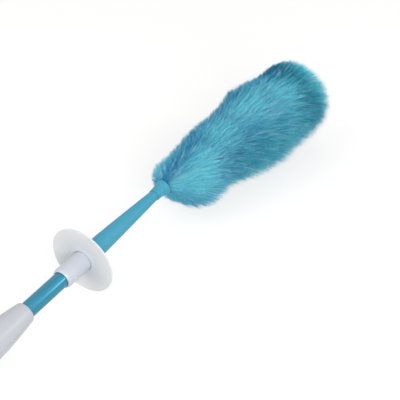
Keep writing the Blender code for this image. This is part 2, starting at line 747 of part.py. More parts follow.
def make_gearbox(finishes, parent, idler, rotor, spindle):
    """Plates, pillars, pin and the two-stage gear train between motor and drive rod."""
    down = -math.pi / 2
    idler_centre = (0.0, -GEAR_CENTRES)
    pin_hole = circle(IDLER_PIN_RADIUS + GAP, idler_centre)
    pillars = [
        (PILLAR_CIRCLE * math.cos(math.radians(a)), PILLAR_CIRCLE * math.sin(math.radians(a)))
        for a in PILLAR_ANGLES
    ]
    plate_radius = shell_bore(GEARBOX_FRONT) - GAP
    plate = (plate_radius, finishes["nylon"], parent, MEDIUM_SEGMENTS)
    front = rod("gearbox_front_plate", PLATE_BACK, GEARBOX_FRONT, *plate)
    sunk = PLATE_BACK + PLATE_THICKNESS / 2
    posts = [(circle(PILLAR_RADIUS, at), BACK_PLATE_FRONT + GAP, sunk) for at in pillars]
    combine(front, prism_tool("gearbox_pillars", posts, parent), "UNION")
    through = (PLATE_BACK - OVERRUN, GEARBOX_FRONT + OVERRUN)
    holes = [(circle(ROD_RADIUS + GAP), *through), (pin_hole, *through)]
    thread = SMALL_SCREW_RADIUS + GAP
    holes += [(circle(thread, at), BACK_PLATE_FRONT - OVERRUN, PLATE_BACK) for at in pillars]
    combine(front, prism_tool("front_plate_holes", holes, parent), "DIFFERENCE")
    back = rod("gearbox_back_plate", BACK_PLATE_BACK, BACK_PLATE_FRONT, *plate)
    through = (BACK_PLATE_BACK - OVERRUN, BACK_PLATE_FRONT + OVERRUN)
    holes = [(circle(MOTOR_BOSS_RADIUS + GAP), *through), (pin_hole, *through)]
    holes += [(circle(thread, at), *through) for at in pillars]
    combine(back, prism_tool("back_plate_holes", holes, parent), "DIFFERENCE")
    make_gearbox_screws(pillars, finishes, parent)
    pin = rod(
        "idler_pin",
        BACK_PLATE_BACK + GAP,
        GEARBOX_FRONT - GAP,
        IDLER_PIN_RADIUS,
        finishes["steel"],
        parent,
        TINY_SEGMENTS,
    )
    pin.location = (0.0, *idler_centre)
    wheel_gap = -down + math.pi / WHEEL_TEETH
    pinion_gap = -down + math.pi / PINION_TEETH
    gear(
        "output_gear",
        WHEEL_TEETH,
        down,
        OUTPUT_BACK,
        OUTPUT_FRONT,
        ROD_RADIUS + GAP,
        finishes["nylon"],
        spindle,
    )
    gear(
        "motor_pinion",
        PINION_TEETH,
        down,
        INPUT_BACK,
        INPUT_FRONT,
        MOTOR_SHAFT_RADIUS + GAP,
        finishes["brass"],
        rotor,
    )
    rod(
        "motor_shaft",
        MOTOR_FRONT - MOTOR_SHAFT_DEPTH + GAP,
        INPUT_FRONT - GAP,
        MOTOR_SHAFT_RADIUS,
        finishes["steel"],
        rotor,
        TINY_SEGMENTS,
    )
    bm = bmesh.new()
    prism_into(bm, gear_outline(WHEEL_TEETH, wheel_gap), INPUT_BACK, INPUT_FRONT)
    wheel = place("idler_gear", mesh_of("idler_gear", bm), finishes["nylon"], idler, smooth=False)
    small = [(gear_outline(PINION_TEETH, pinion_gap), INPUT_FRONT - FACE_WIDTH / 2, OUTPUT_FRONT)]
    combine(wheel, prism_tool("idler_small_gear", small, idler), "UNION")
    bore = [(circle(IDLER_PIN_RADIUS + GAP), INPUT_BACK - OVERRUN, OUTPUT_FRONT + OVERRUN)]
    combine(wheel, prism_tool("idler_bore", bore, idler), "DIFFERENCE")


def make_gearbox_screws(places, finishes, parent):
    """Three alike screws that clamp the back plate on the pillars."""
    head = BACK_PLATE_BACK - GAP
    profile = [
        (head - SMALL_SCREW_HEAD_HEIGHT, 0.0),
        (head - SMALL_SCREW_HEAD_HEIGHT, SMALL_SCREW_HEAD),
        (head, SMALL_SCREW_HEAD),
        (head, SMALL_SCREW_RADIUS),
        (PLATE_BACK - 2 * SMALL_SCREW_RADIUS, SMALL_SCREW_RADIUS),
        (PLATE_BACK - 2 * SMALL_SCREW_RADIUS, 0.0),
    ]
    for number, (y, z) in enumerate(places, start=1):
        mesh = turned_mesh("gearbox_screw", profile, TINY_SEGMENTS)
        screw = place(f"gearbox_screw_{number}", mesh, finishes["steel"], parent)
        screw.location = (0.0, y, z)


def make_motor(finishes, parent):
    """The motor's can with its front boss and shaft hole, and its two terminals."""
    bore = MOTOR_SHAFT_RADIUS + GAP
    boss = MOTOR_FRONT + GAP + MOTOR_BOSS_LENGTH
    profile = [
        (MOTOR_BACK, 0.0),
        (MOTOR_BACK, MOTOR_RADIUS - 2 * MOTOR_EDGE),
        (MOTOR_BACK + MOTOR_EDGE, MOTOR_RADIUS - MOTOR_EDGE / 2),
        (MOTOR_BACK + 2 * MOTOR_EDGE, MOTOR_RADIUS),
        (MOTOR_FRONT - MOTOR_EDGE, MOTOR_RADIUS),
        (MOTOR_FRONT, MOTOR_RADIUS - MOTOR_EDGE),
        (MOTOR_FRONT, MOTOR_BOSS_RADIUS),
        (boss, MOTOR_BOSS_RADIUS),
        (boss, bore),
        (MOTOR_FRONT - MOTOR_SHAFT_DEPTH, bore),
        (MOTOR_FRONT - MOTOR_SHAFT_DEPTH, 0.0),
    ]
    turned("motor", profile, finishes["motor_can"], parent, MEDIUM_SEGMENTS)
    middle = MOTOR_BACK - GAP - TERMINAL_SIZE[0] / 2
    for name, side in (("motor_terminal_a", -1), ("motor_terminal_b", 1)):
        centre = (middle, side * TERMINAL_OFFSET, 0.0)
        block(name, centre, TERMINAL_SIZE, finishes["brass"], parent)


def make_switch(finishes, parent, button):
    """The switch board and switch on the motor, and the button with its plunger."""
    board_low = MOTOR_RADIUS + GAP
    board_high = board_low + BOARD_SIZE[2]
    middle = (BUTTON_PLACE, 0.0, (board_low + board_high) / 2)
    block("switch_board", middle, BOARD_SIZE, finishes["board_green"], parent)
    switch_low = board_high + GAP
    switch_high = switch_low + SWITCH_SIZE[2]
    middle = (BUTTON_PLACE, 0.0, (switch_low + switch_high) / 2)
    switch = block("switch_body", middle, SWITCH_SIZE, finishes["dark_plastic"], parent)
    bore = PLUNGER_RADIUS + GAP
    low = switch_low - OVERRUN
    high = switch_high + OVERRUN
    well_profile = [(low, 0.0), (low, bore), (high, bore), (high, 0.0)]
    well = turned_mesh("plunger_well", well_profile, TINY_SEGMENTS, axis="Z")
    cutter = tool("plunger_well", well, parent)
    cutter.location.x = BUTTON_PLACE
    combine(switch, cutter, "DIFFERENCE")
    bottom = switch_high + BUTTON_TRAVEL + GAP
    flange_top = bottom + BUTTON_FLANGE_THICKNESS
    crown = GRIP_RADIUS + BUTTON_STAND
    plunger = switch_low + BUTTON_TRAVEL + GAP
    profile = [
        (plunger, 0.0),
        (plunger, PLUNGER_RADIUS),
        (bottom, PLUNGER_RADIUS),
        (bottom, BUTTON_FLANGE_RADIUS),
        (flange_top, BUTTON_FLANGE_RADIUS),
        (flange_top, BUTTON_RADIUS),
        *[(crown - depth, BUTTON_RADIUS * share) for depth, share in BUTTON_CROWN],
        (crown, 0.0),
    ]
    mesh = turned_mesh("button", profile, SMALL_SEGMENTS, axis="Z")
    place("button", mesh, finishes["button_blue"], button)


def make_wiring(finishes, parent):
    """The bay's bulkhead with its two leaf contacts, and the three leads."""
    bulkhead = ring(
        "bay_bulkhead",
        BULKHEAD_BACK,
        BULKHEAD_FRONT,
        COLUMN_RADIUS,
        PLUG_RADIUS,
        finishes["dark_plastic"],
        parent,
        MEDIUM_SEGMENTS,
    )
    through = (BULKHEAD_BACK - OVERRUN, BULKHEAD_FRONT + OVERRUN)
    tails = [
        (circle(WIRE_RADIUS + GAP, (side * CELL_OFFSET, CELL_OFFSET)), *through) for side in (-1, 1)
    ]
    combine(bulkhead, prism_tool("bulkhead_holes", tails, parent), "DIFFERENCE")
    leaf_x = BULKHEAD_BACK - GAP - LEAF_SIZE[0] / 2
    for name, side in (("bay_contact_minus", -1), ("bay_contact_plus", 1)):
        centre = (leaf_x, side * CELL_OFFSET, CELL_OFFSET)
        block(name, centre, LEAF_SIZE, finishes["brass"], parent)
    lead_end = BULKHEAD_BACK
    tab_end = MOTOR_BACK - GAP - TERMINAL_SIZE[0] - GAP
    middle = (MOTOR_STOP + BULKHEAD_FRONT) / 2
    side, height = WIRE_PASS
    stop_back = MOTOR_STOP - RIB
    routes = {
        "wire_battery_to_switch": [
            (lead_end, CELL_OFFSET, CELL_OFFSET),
            (BULKHEAD_FRONT + WIRE_STEP, CELL_OFFSET, CELL_OFFSET),
            (middle, (CELL_OFFSET + side) / 2, height),
            (stop_back - WIRE_STEP, side, height),
            (stop_back + RIB / 2, side, height),
        ],
        "wire_switch_to_motor": [
            (tab_end, -TERMINAL_OFFSET, 0.0),
            (tab_end - WIRE_STEP, -TERMINAL_OFFSET, 0.0),
            (tab_end - 1.5 * WIRE_STEP, -TERMINAL_OFFSET, height / 2),
            (tab_end - WIRE_STEP, -side, height - WIRE_STEP),
            (stop_back + RIB / 2, -side, height),
        ],
        "wire_battery_to_motor": [
            (lead_end, -CELL_OFFSET, CELL_OFFSET),
            (BULKHEAD_FRONT + WIRE_STEP, -CELL_OFFSET, CELL_OFFSET),
            (BULKHEAD_FRONT + 2.5 * WIRE_STEP, -CELL_OFFSET / 2, CELL_OFFSET / 2),
            (tab_end - 2 * WIRE_STEP, TERMINAL_OFFSET / 2, 0.0),
            (tab_end - WIRE_STEP, TERMINAL_OFFSET, 0.0),
            (tab_end, TERMINAL_OFFSET, 0.0),
        ],
    }
    colours = {
        "wire_battery_to_switch": "wire_red",
        "wire_switch_to_motor": "wire_red",
        "wire_battery_to_motor": "wire_black",
    }
    for name, points in routes.items():
        path = smooth_path(points, 5 * WIRE_RADIUS)
        wire(name, path, WIRE_RADIUS, finishes[colours[name]], parent)


def make_cartridge(finishes, parent):
    """The end cap and, fixed to it, the tray with four cells, strips and springs."""
    centre = (CAP_REAR + CAP_FILLET, GRIP_RADIUS - CAP_FILLET)
    bend = [math.pi / 2 * step / CAP_FILLET_STEPS for step in range(CAP_FILLET_STEPS + 1)]
    fillet_points = [
        (centre[0] - CAP_FILLET * math.sin(a), centre[1] + CAP_FILLET * math.cos(a)) for a in bend
    ]
    ledge = TRAY_REAR - GAP
    inside = CAP_REAR + CAP_WALL
    profile = [
        (inside, 0.0),
        (inside, PLUG_BORE - CAP_LEDGE),
        (ledge, PLUG_BORE - CAP_LEDGE),
        (ledge, PLUG_BORE),
        (CAP_PLUG_FRONT, PLUG_BORE),
        (CAP_PLUG_FRONT, PLUG_RADIUS),
        (CAP_FRONT, PLUG_RADIUS),
        (CAP_FRONT, GRIP_RADIUS),
        *fillet_points,
        (CAP_REAR, 0.0),
    ]
    cap = turned("end_cap", profile, finishes["handle_white"], parent)
    floor = bmesh.new()
    depth = GUARD_RADIUS
    block_into(floor, (0.0, 0.0, -depth / 2), (depth * 2, depth * 2, depth))
    cutter = tool("rest_flat", mesh_of("rest_flat", floor), parent)
    cutter.rotation_euler = (0.0, TILT, 0.0)
    cutter.location = (CAP_REAR, 0.0, -(GRIP_RADIUS - REST_FLAT_DEPTH))
    combine(cap, cutter, "DIFFERENCE")

    tray_profile = [
        (TRAY_REAR, 0.0),
        (TRAY_REAR, PLUG_BORE - GAP),
        (TRAY_REAR_FACE, PLUG_BORE - GAP),
        (TRAY_REAR_FACE, COLUMN_RADIUS),
        (TRAY_FRONT_FACE, COLUMN_RADIUS),
        (TRAY_FRONT_FACE, PLUG_RADIUS),
        (TRAY_FRONT, PLUG_RADIUS),
        (TRAY_FRONT, 0.0),
    ]
    tray = turned("cell_tray", tray_profile, finishes["dark_plastic"], parent, MEDIUM_SEGMENTS)
    rails = bmesh.new()
    rail_length = BAY_LENGTH + TRAY_PLATE
    for side in (-1, 1):
        centre = ((TRAY_REAR_FACE + TRAY_FRONT_FACE) / 2, side * RAIL_OFFSET, 0.0)
        block_into(rails, centre, (rail_length, RAIL_SIZE[0], RAIL_SIZE[1]))
    combine(tray, tool("tray_rails", mesh_of("tray_rails", rails), parent), "UNION")

    nub_forward = True
    springs = []
    number = 0
    for y in (-CELL_OFFSET, CELL_OFFSET):
        for z in (-CELL_OFFSET, CELL_OFFSET):
            number += 1
            make_cell(number, y, z, nub_forward, finishes, parent)
            springs.append((y, z, not nub_forward))
            nub_forward = not nub_forward
        nub_forward = not nub_forward
    make_contacts(finishes, parent)
    for index, (y, z, forward) in enumerate(springs, start=1):
        make_spring(f"cell_spring_{index}", y, z, forward, finishes, parent)


def cell_span(nub_forward):
    """Return the ends of a cell, (rear, front), between its strip and its spring."""
    strip = GAP + STRIP_THICKNESS + GAP
    if nub_forward:
        front = TRAY_FRONT_FACE - strip
        return front - CELL_LENGTH, front
    rear = TRAY_REAR_FACE + strip
    return rear, rear + CELL_LENGTH


def make_cell(number, y, z, nub_forward, finishes, parent):
    """One AA-size cell with its raised contact."""
    rear, front = cell_span(nub_forward)
    shoulder = front - CELL_NUB_LENGTH
    profile = [
        (rear, 0.0),
        (rear, CELL_RADIUS),
        (shoulder, CELL_RADIUS),
        (shoulder, CELL_NUB_RADIUS),
        (front, CELL_NUB_RADIUS),
        (front, 0.0),
    ]
    if not nub_forward:
        profile = [(rear + front - x, r) for x, r in reversed(profile)]
    cell = turned(f"cell_{number}", profile, finishes["cell_sleeve"], parent, SMALL_SEGMENTS)
    cell.location = (0.0, y, z)


def make_contacts(finishes, parent):
    """Flat strips on the tray's plates: two bridges behind, one bridge and two pads in front."""
    rear_x = TRAY_REAR_FACE + GAP + STRIP_THICKNESS / 2
    front_x = TRAY_FRONT_FACE - GAP - STRIP_THICKNESS / 2
    reach = 2 * CELL_OFFSET + STRIP_WIDTH
    upright = (STRIP_THICKNESS, STRIP_WIDTH, reach)
    level = (STRIP_THICKNESS, reach, STRIP_WIDTH)
    pad = (STRIP_THICKNESS, STRIP_WIDTH, STRIP_WIDTH)
    strips = {
        "rear_bridge_right": ((rear_x, -CELL_OFFSET, 0.0), upright),
        "rear_bridge_left": ((rear_x, CELL_OFFSET, 0.0), upright),
        "front_bridge": ((front_x, 0.0, -CELL_OFFSET), level),
        "front_pad_minus": ((front_x, -CELL_OFFSET, CELL_OFFSET), pad),
        "front_pad_plus": ((front_x, CELL_OFFSET, CELL_OFFSET), pad),
    }
    for name, (centre, size) in strips.items():
        block(name, centre, size, finishes["steel"], parent)


def make_spring(name, y, z, forward, finishes, parent):
    """A conical contact spring, in front of its cell when forward, else behind it."""
    rear, front = cell_span(not forward)
    wide, narrow = SPRING_RADII
    turns = SPRING_TURNS
    count = int(SPRING_POINTS_PER_TURN * turns)
    length = SPRING_LENGTH - GAP - 2 * SPRING_WIRE_RADIUS
    if forward:
        base = TRAY_FRONT_FACE - GAP - STRIP_THICKNESS - GAP - SPRING_WIRE_RADIUS
        heading = -1.0
    else:
        base = TRAY_REAR_FACE + GAP + STRIP_THICKNESS + GAP + SPRING_WIRE_RADIUS
        heading = 1.0
    points = []
    for step in range(count + 1):
        share = step / count
        angle = 2 * math.pi * turns * share
        radius = wide + (narrow - wide) * share
        x = base + heading * length * share
        points.append((x, y + radius * math.cos(angle), z + radius * math.sin(angle)))
    wire(name, points, SPRING_WIRE_RADIUS, finishes["steel"], parent, resolution=0)


def make_spindle(finishes, parent):
    """The drive rod, its retaining clip and its six-sided driving end."""
    rod_end = HEX_END - HEX_NOSE
    rod("drive_rod", OUTPUT_BACK, rod_end, ROD_RADIUS, finishes["steel"], parent)
    clip_back = GEARBOX_FRONT + GAP
    ring(
        "rod_clip",
        clip_back,
        clip_back + CLIP_THICKNESS,
        ROD_RADIUS + GAP,
        ROD_RADIUS + CLIP_WIDTH,
        finishes["steel"],
        parent,
        TINY_SEGMENTS,
    )
    corner = HEX_ACROSS_FLATS / 2 / math.cos(math.pi / 6)
    bm = bmesh.new()
    prism_into(bm, circle(corner, count=6), HEX_START, HEX_END)
    driver = place("drive_hex", mesh_of("drive_hex", bm), finishes["steel"], parent, smooth=False)
    bore = [(circle(ROD_RADIUS + GAP), HEX_START - OVERRUN, rod_end + GAP)]
    combine(driver, prism_tool("drive_hex_bore", bore, parent), "DIFFERENCE")


def make_neck(finishes, parent):
    """The neck with its skirt over the collar's snap bead, the hub in it and the ferrule."""
    outer = []
    for step in range(NECK_STEPS + 1):
        x = NECK_REAR + (NECK_FRONT - NECK_REAR) * step / NECK_STEPS
        outer.append((x, neck_radius(x)))
    skirt = NECK_REAR + NECK_SKIRT_LENGTH
    socket = NECK_FRONT - NECK_SOCKET_LENGTH
    core_bore = CORE_RADIUS + GAP
    profile = outer + [
        (NECK_FRONT, core_bore),
        (socket, core_bore),
        (socket - NECK_SOCKET_CONE, neck_radius(socket) - NECK_WALL),
        (skirt, neck_radius(skirt) - NECK_WALL),
        (skirt, neck_radius(skirt) - NECK_SKIRT_WALL),
        (NECK_REAR, neck_radius(NECK_REAR) - NECK_SKIRT_WALL),
    ]
    turned("neck", profile, finishes["neck_blue"], parent)
    hub_rear = skirt + GAP
    hub_front = hub_rear + HUB_LENGTH
    hub_profile = [
        (hub_rear, 0.0),
        (hub_rear, neck_radius(hub_rear) - NECK_WALL - GAP),
        (hub_front, neck_radius(hub_front) - NECK_WALL - GAP),
        (hub_front, 0.0),
    ]
    hub = turned("neck_hub", hub_profile, finishes["nylon"], parent, MEDIUM_SEGMENTS)
    corner = (HEX_ACROSS_FLATS / 2 + GAP) / math.cos(math.pi / 6)
    socket_hole = [(circle(corner, count=6), hub_rear - OVERRUN, hub_front - HUB_END_WALL)]
    combine(hub, prism_tool("hub_socket", socket_hole, parent), "DIFFERENCE")
    cup = FERRULE_REAR + FERRULE_WEB
    rise = FERRULE_MOUTH_RADIUS - FERRULE_REAR_RADIUS
    flare = [
        (FERRULE_REAR + FERRULE_LENGTH * along, FERRULE_REAR_RADIUS + rise * out)
        for along, out in FERRULE_FLARE
    ]
    ferrule_profile = [
        (FERRULE_REAR, core_bore),
        (FERRULE_REAR, FERRULE_REAR_RADIUS - FERRULE_EDGE),
        (FERRULE_REAR + FERRULE_EDGE, FERRULE_REAR_RADIUS),
        *flare,
        (FERRULE_MOUTH, FERRULE_MOUTH_RADIUS),
        (FERRULE_MOUTH, FERRULE_MOUTH_RADIUS - FERRULE_WALL),
        (flare[-1][0], flare[-1][1] - FERRULE_WALL),
        (cup, SLEEVE_RADIUS + 2 * GAP),
        (cup, core_bore),
    ]
    turned("ferrule", ferrule_profile, finishes["ferrule_blue"], parent)


def make_core(finishes, parent):
    """The core that carries the pile, and its rounded tip."""
    rod("core_rod", CORE_REAR, CORE_FRONT, CORE_RADIUS, finishes["core_white"], parent, MEDIUM_SEGMENTS)
    start = CORE_FRONT + GAP
    bend = [math.pi / 2 * step / CORE_TIP_STEPS for step in range(CORE_TIP_STEPS)]
    nose = start + CORE_TIP_LENGTH - CORE_TIP_RADIUS
    profile = [
        (start, 0.0),
        (start, CORE_TIP_RADIUS),
        *[(nose + CORE_TIP_RADIUS * math.sin(a), CORE_TIP_RADIUS * math.cos(a)) for a in bend],
        (start + CORE_TIP_LENGTH, 0.0),
    ]
    turned("core_tip", profile, finishes["core_white"], parent, SMALL_SEGMENTS)


def row_target(row):
    """Return where the tips of a row end along the axis; the last rows crowd together."""
    share = row / (PILE_ROWS - 1)
    return FIRST_TIP + (LAST_TIP - FIRST_TIP) * (1.0 - (1.0 - share) ** TIP_CROWDING)


def lock_point(foot, tip, share, angle):
    """A lock rises from the core first and then sweeps forward.

    Radius follows a quarter sine of the share, the place along the axis follows its power.
    """
    rise = math.sin(math.pi / 2 * share)
    forward = share**LOCK_SWEEP
    x = foot[0] + (tip[0] - foot[0]) * forward
    radius = foot[1] + (tip[1] - foot[1]) * rise
    return Vector((x, radius * math.cos(angle), radius * math.sin(angle)))


def grow_lock(bm, base, row, dice):
    """Grow one three-sided lock from a triangle of the sleeve."""
    centre = sum((vert.co for vert in base), Vector()) / 3
    angle = math.atan2(centre.z, centre.y)
    foot = (centre.x, math.hypot(centre.y, centre.z))
    target = row_target(row) + dice.uniform(-LOCK_SCATTER, LOCK_SCATTER)
    swing = dice.uniform(-LOCK_SWING, LOCK_SWING)
    reach = pile_reach(target, angle + swing) * dice.uniform(SHORTEST_LOCK, 1.0)
    tip = (target, max(reach, foot[1] + LOCK_CLEARANCE))
    sideways = Vector((0.0, -math.sin(angle), math.cos(angle)))
    previous = list(base)
    for share in LOCK_JOINTS:
        at = lock_point(foot, tip, share, angle + swing * share)
        ahead = lock_point(foot, tip, share + 0.05, angle + swing * share)
        heading = (ahead - at).normalized()
        outward = heading.cross(sideways).normalized()
        if outward.dot(Vector((-1.0, 0.0, 0.0))) < 0.0:
            outward = -outward
        left = bm.verts.new(at - sideways * LOCK_WIDTH / 2 + outward * LOCK_DEPTH / 3)
        right = bm.verts.new(at + sideways * LOCK_WIDTH / 2 + outward * LOCK_DEPTH / 3)
        under = bm.verts.new(at - outward * LOCK_DEPTH * 2 / 3)
        section = [left, right, under]
        for index in range(3):
            after = (index + 1) % 3
            bm.faces.new((previous[index], previous[after], section[after], section[index]))
        previous = section
    end = bm.verts.new(lock_point(foot, tip, 1.0, angle + swing))
    for index in range(3):
        bm.faces.new((previous[index], previous[(index + 1) % 3], end))


def sleeve_ring(bm, x, radius, phase):
    """Add one ring of the sleeve; phase counts in steps between neighbouring locks."""
    step = 2 * math.pi / LOCKS_PER_ROW
    angles = [step * (index + phase) for index in range(LOCKS_PER_ROW)]
    return [bm.verts.new((x, radius * math.cos(a), radius * math.sin(a))) for a in angles]


def bridge(bm, first, second, staggered):
    """Join two rings by quads, or by triangles where the second is half a step on.

    Returns the triangles that stand on the first ring.
    """
    count = len(first)
    standing = []
    for index in range(count):
        after = (index + 1) % count
        if staggered:
            standing.append((first[index], first[after], second[index]))
            bm.faces.new((second[index], first[after], second[after]))
        else:
            bm.faces.new((first[index], first[after], second[after], second[index]))
    return standing


def make_pile_node(name, rows, start, end, dice, material, parent):
    """One slice of the sleeve on the core with its rows of locks fused to it."""
    bm = bmesh.new()
    phase = (rows[0] % 2) * 0.5
    first_phase = phase
    opening = sleeve_ring(bm, start, SLEEVE_RADIUS, phase)
    previous = opening
    for row in rows:
        x = FIRST_ROW + ROW_PITCH * row
        low = sleeve_ring(bm, x, SLEEVE_RADIUS, phase)
        bridge(bm, previous, low, False)
        high = sleeve_ring(bm, x + ROOT_LENGTH, SLEEVE_RADIUS, phase + 0.5)
        for base in bridge(bm, low, high, True):
            grow_lock(bm, base, row, dice)
        previous = high
        phase += 0.5
    closing = sleeve_ring(bm, end, SLEEVE_RADIUS, phase)
    bridge(bm, previous, closing, False)
    bore = (CORE_RADIUS + GAP) / math.cos(math.pi / LOCKS_PER_ROW)
    inner_start = sleeve_ring(bm, start, bore, first_phase)
    inner_end = sleeve_ring(bm, end, bore, first_phase)
    bridge(bm, inner_start, inner_end, False)
    bridge(bm, opening, inner_start, False)
    turned_by = phase - first_phase
    whole = int(turned_by)
    aligned = inner_end[whole:] + inner_end[:whole]
    if turned_by == whole:
        bridge(bm, aligned, closing, False)
    else:
        for face in bridge(bm, aligned, closing, True):
            bm.faces.new(face)
    place(name, mesh_of(name, bm), material, parent, smooth=False)


def make_pile(finishes, parent):
    """The fibre pile, in slices along the core."""
    dice = random.Random(7)
    groups = [
        list(range(first, min(first + ROWS_PER_NODE, PILE_ROWS)))
        for first in range(0, PILE_ROWS, ROWS_PER_NODE)
    ]
    start = SLEEVE_START
    for number, rows in enumerate(groups, start=1):
        last = FIRST_ROW + ROW_PITCH * rows[-1]
        middle = last + (ROW_PITCH + ROOT_LENGTH) / 2
        end = SLEEVE_END if rows[-1] == PILE_ROWS - 1 else middle - GAP / 2
        make_pile_node(f"pile_{number}", rows, start, end, dice, finishes["fibre_blue"], parent)
        start = middle + GAP / 2


def seat_on_floor(root):
    """Move the part so that its box is centred on the origin and stands on z = 0."""
    bpy.context.view_layer.update()
    depsgraph = bpy.context.evaluated_depsgraph_get()
    lows = []
    highs = []
    for piece in bpy.context.scene.objects:
        if piece.type not in {"MESH", "CURVE"} or piece.hide_render:
            continue
        shown = piece.evaluated_get(depsgraph)
        mesh = shown.to_mesh()
        flat = np.empty(len(mesh.vertices) * 3)
        mesh.vertices.foreach_get("co", flat)
        matrix = np.array(shown.matrix_world)
        world = flat.reshape(-1, 3) @ matrix[:3, :3].T + matrix[:3, 3]
        lows.append(world.min(axis=0))
        highs.append(world.max(axis=0))
        shown.to_mesh_clear()
    low = np.min(lows, axis=0)
    high = np.max(highs, axis=0)
    root.location.x -= (low[0] + high[0]) / 2
    root.location.y -= (low[1] + high[1]) / 2
    root.location.z -= low[2]
    bpy.context.view_layer.update()


def main():
    """Build the duster."""
    for old in list(bpy.data.objects):
        bpy.data.objects.remove(old, do_unlink=True)
    finishes = make_materials()
    root = empty("duster_axis")
    root.rotation_euler = (0.0, -TILT, 0.0)
    spindle = empty("spin_axis", root)
    head = empty("head_axis", spindle)
    rotor = empty("motor_axis", root)
    idler = empty("idler_axis", root, (0.0, 0.0, -GEAR_CENTRES))
    button = empty("button_axis", root, (BUTTON_PLACE, 0.0, 0.0))
    cartridge = empty("cartridge_axis", root)
    make_shells(finishes, root)
    make_shell_screws(finishes, root)
    make_tube_and_collar(finishes, root)
    make_gearbox(finishes, root, idler, rotor, spindle)
    make_motor(finishes, root)
    make_switch(finishes, root, button)
    make_wiring(finishes, root)
    make_cartridge(finishes, cartridge)
    make_spindle(finishes, spindle)
    make_neck(finishes, head)
    make_core(finishes, head)
    make_pile(finishes, head)
    seat_on_floor(root)


main()
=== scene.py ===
"""Looks of a battery-driven spinning hand duster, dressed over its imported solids.

Lengths run along the duster's own axis, from the rear face of its guard disc and positive
towards the fibre head, in metres. Angles about that axis run from the duster's left side
towards its upper side.
"""

import json
import logging
import math
from dataclasses import dataclass
from enum import Enum

import bpy
import numpy as np
from mathutils import Matrix, Vector

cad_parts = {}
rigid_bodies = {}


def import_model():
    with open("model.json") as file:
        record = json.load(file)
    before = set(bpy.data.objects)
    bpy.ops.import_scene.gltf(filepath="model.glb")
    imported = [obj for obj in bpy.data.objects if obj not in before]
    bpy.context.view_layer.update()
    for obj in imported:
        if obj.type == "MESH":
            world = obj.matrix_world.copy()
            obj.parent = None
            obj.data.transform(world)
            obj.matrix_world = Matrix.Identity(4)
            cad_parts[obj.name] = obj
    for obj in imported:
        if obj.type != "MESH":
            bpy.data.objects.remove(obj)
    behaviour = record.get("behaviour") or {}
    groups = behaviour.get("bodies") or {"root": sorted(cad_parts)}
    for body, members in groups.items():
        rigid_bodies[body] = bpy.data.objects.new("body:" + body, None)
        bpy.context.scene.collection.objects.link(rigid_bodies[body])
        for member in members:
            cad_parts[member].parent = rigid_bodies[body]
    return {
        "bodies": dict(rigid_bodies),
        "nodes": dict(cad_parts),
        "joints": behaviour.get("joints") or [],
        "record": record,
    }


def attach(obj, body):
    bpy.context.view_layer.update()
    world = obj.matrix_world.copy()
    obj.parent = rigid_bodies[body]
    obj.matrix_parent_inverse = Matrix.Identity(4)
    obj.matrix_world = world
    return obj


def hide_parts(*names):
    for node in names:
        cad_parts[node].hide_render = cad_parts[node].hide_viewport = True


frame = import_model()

LOG = logging.getLogger("duster")
GAP = 0.0003
DRIVER_START = 0.0063
TURN = 2 * math.pi
CREASE = 35.0
WHITE = (1.0, 1.0, 1.0, 1.0)

Colour = tuple[float, float, float]
Point = tuple[float, float, float]
Span = tuple[float, float]
Socket = bpy.types.NodeSocket


class Body(Enum):
    """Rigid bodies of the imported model."""

    HANDLE = "handle"
    SPINDLE = "spindle"
    HEAD = "head"
    ROTOR = "motor_rotor"
    IDLER = "idler"
    BUTTON = "button"
    CARTRIDGE = "cartridge"


class Half(Enum):
    """The two shells of the handle, by the side of the parting plane they lie on."""

    TOP = 1
    BOTTOM = -1


@dataclass(frozen=True)
class DusterAxis:
    """The duster's own axis in the row frame, with the sides that angles are counted from."""

    origin: np.ndarray
    along: np.ndarray
    left: np.ndarray
    up: np.ndarray

    @classmethod
    def through_joint(cls, joint: dict, place: float) -> "DusterAxis":
        """Lay the axis along a hinge.

        Args:
            joint: The hinge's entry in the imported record.
            place: How far ahead of the guard's rear face the hinge's point lies.

        Returns:
            The axis, whose left side is the row frame's +Y.
        """
        along = np.array(joint["axis"], float)
        along /= np.linalg.norm(along)
        left = np.array([0.0, 1.0, 0.0])
        origin = np.array(joint["pos_m"], float) - place * along
        return cls(origin, along, left, np.cross(along, left))

    def points(self, x: np.ndarray, radius: np.ndarray, angle: np.ndarray) -> np.ndarray:
        """Turn cylinder coordinates into points of the row frame.

        point = origin + x along + radius (cos angle left + sin angle up)

        Args:
            x: Places along the axis.
            radius: Distances from it.
            angle: Angles about it, in radians.

        Returns:
            An array of the arguments' common shape with three numbers in its last dimension.
        """
        x, radius, angle = np.broadcast_arrays(x, radius, angle)
        sideways = (radius * np.cos(angle))[..., None] * self.left
        upwards = (radius * np.sin(angle))[..., None] * self.up
        return self.origin + x[..., None] * self.along + sideways + upwards

    @property
    def tilt(self) -> float:
        """Angle by which the axis rises above the floor."""
        return math.atan2(self.along[2], self.along[0])


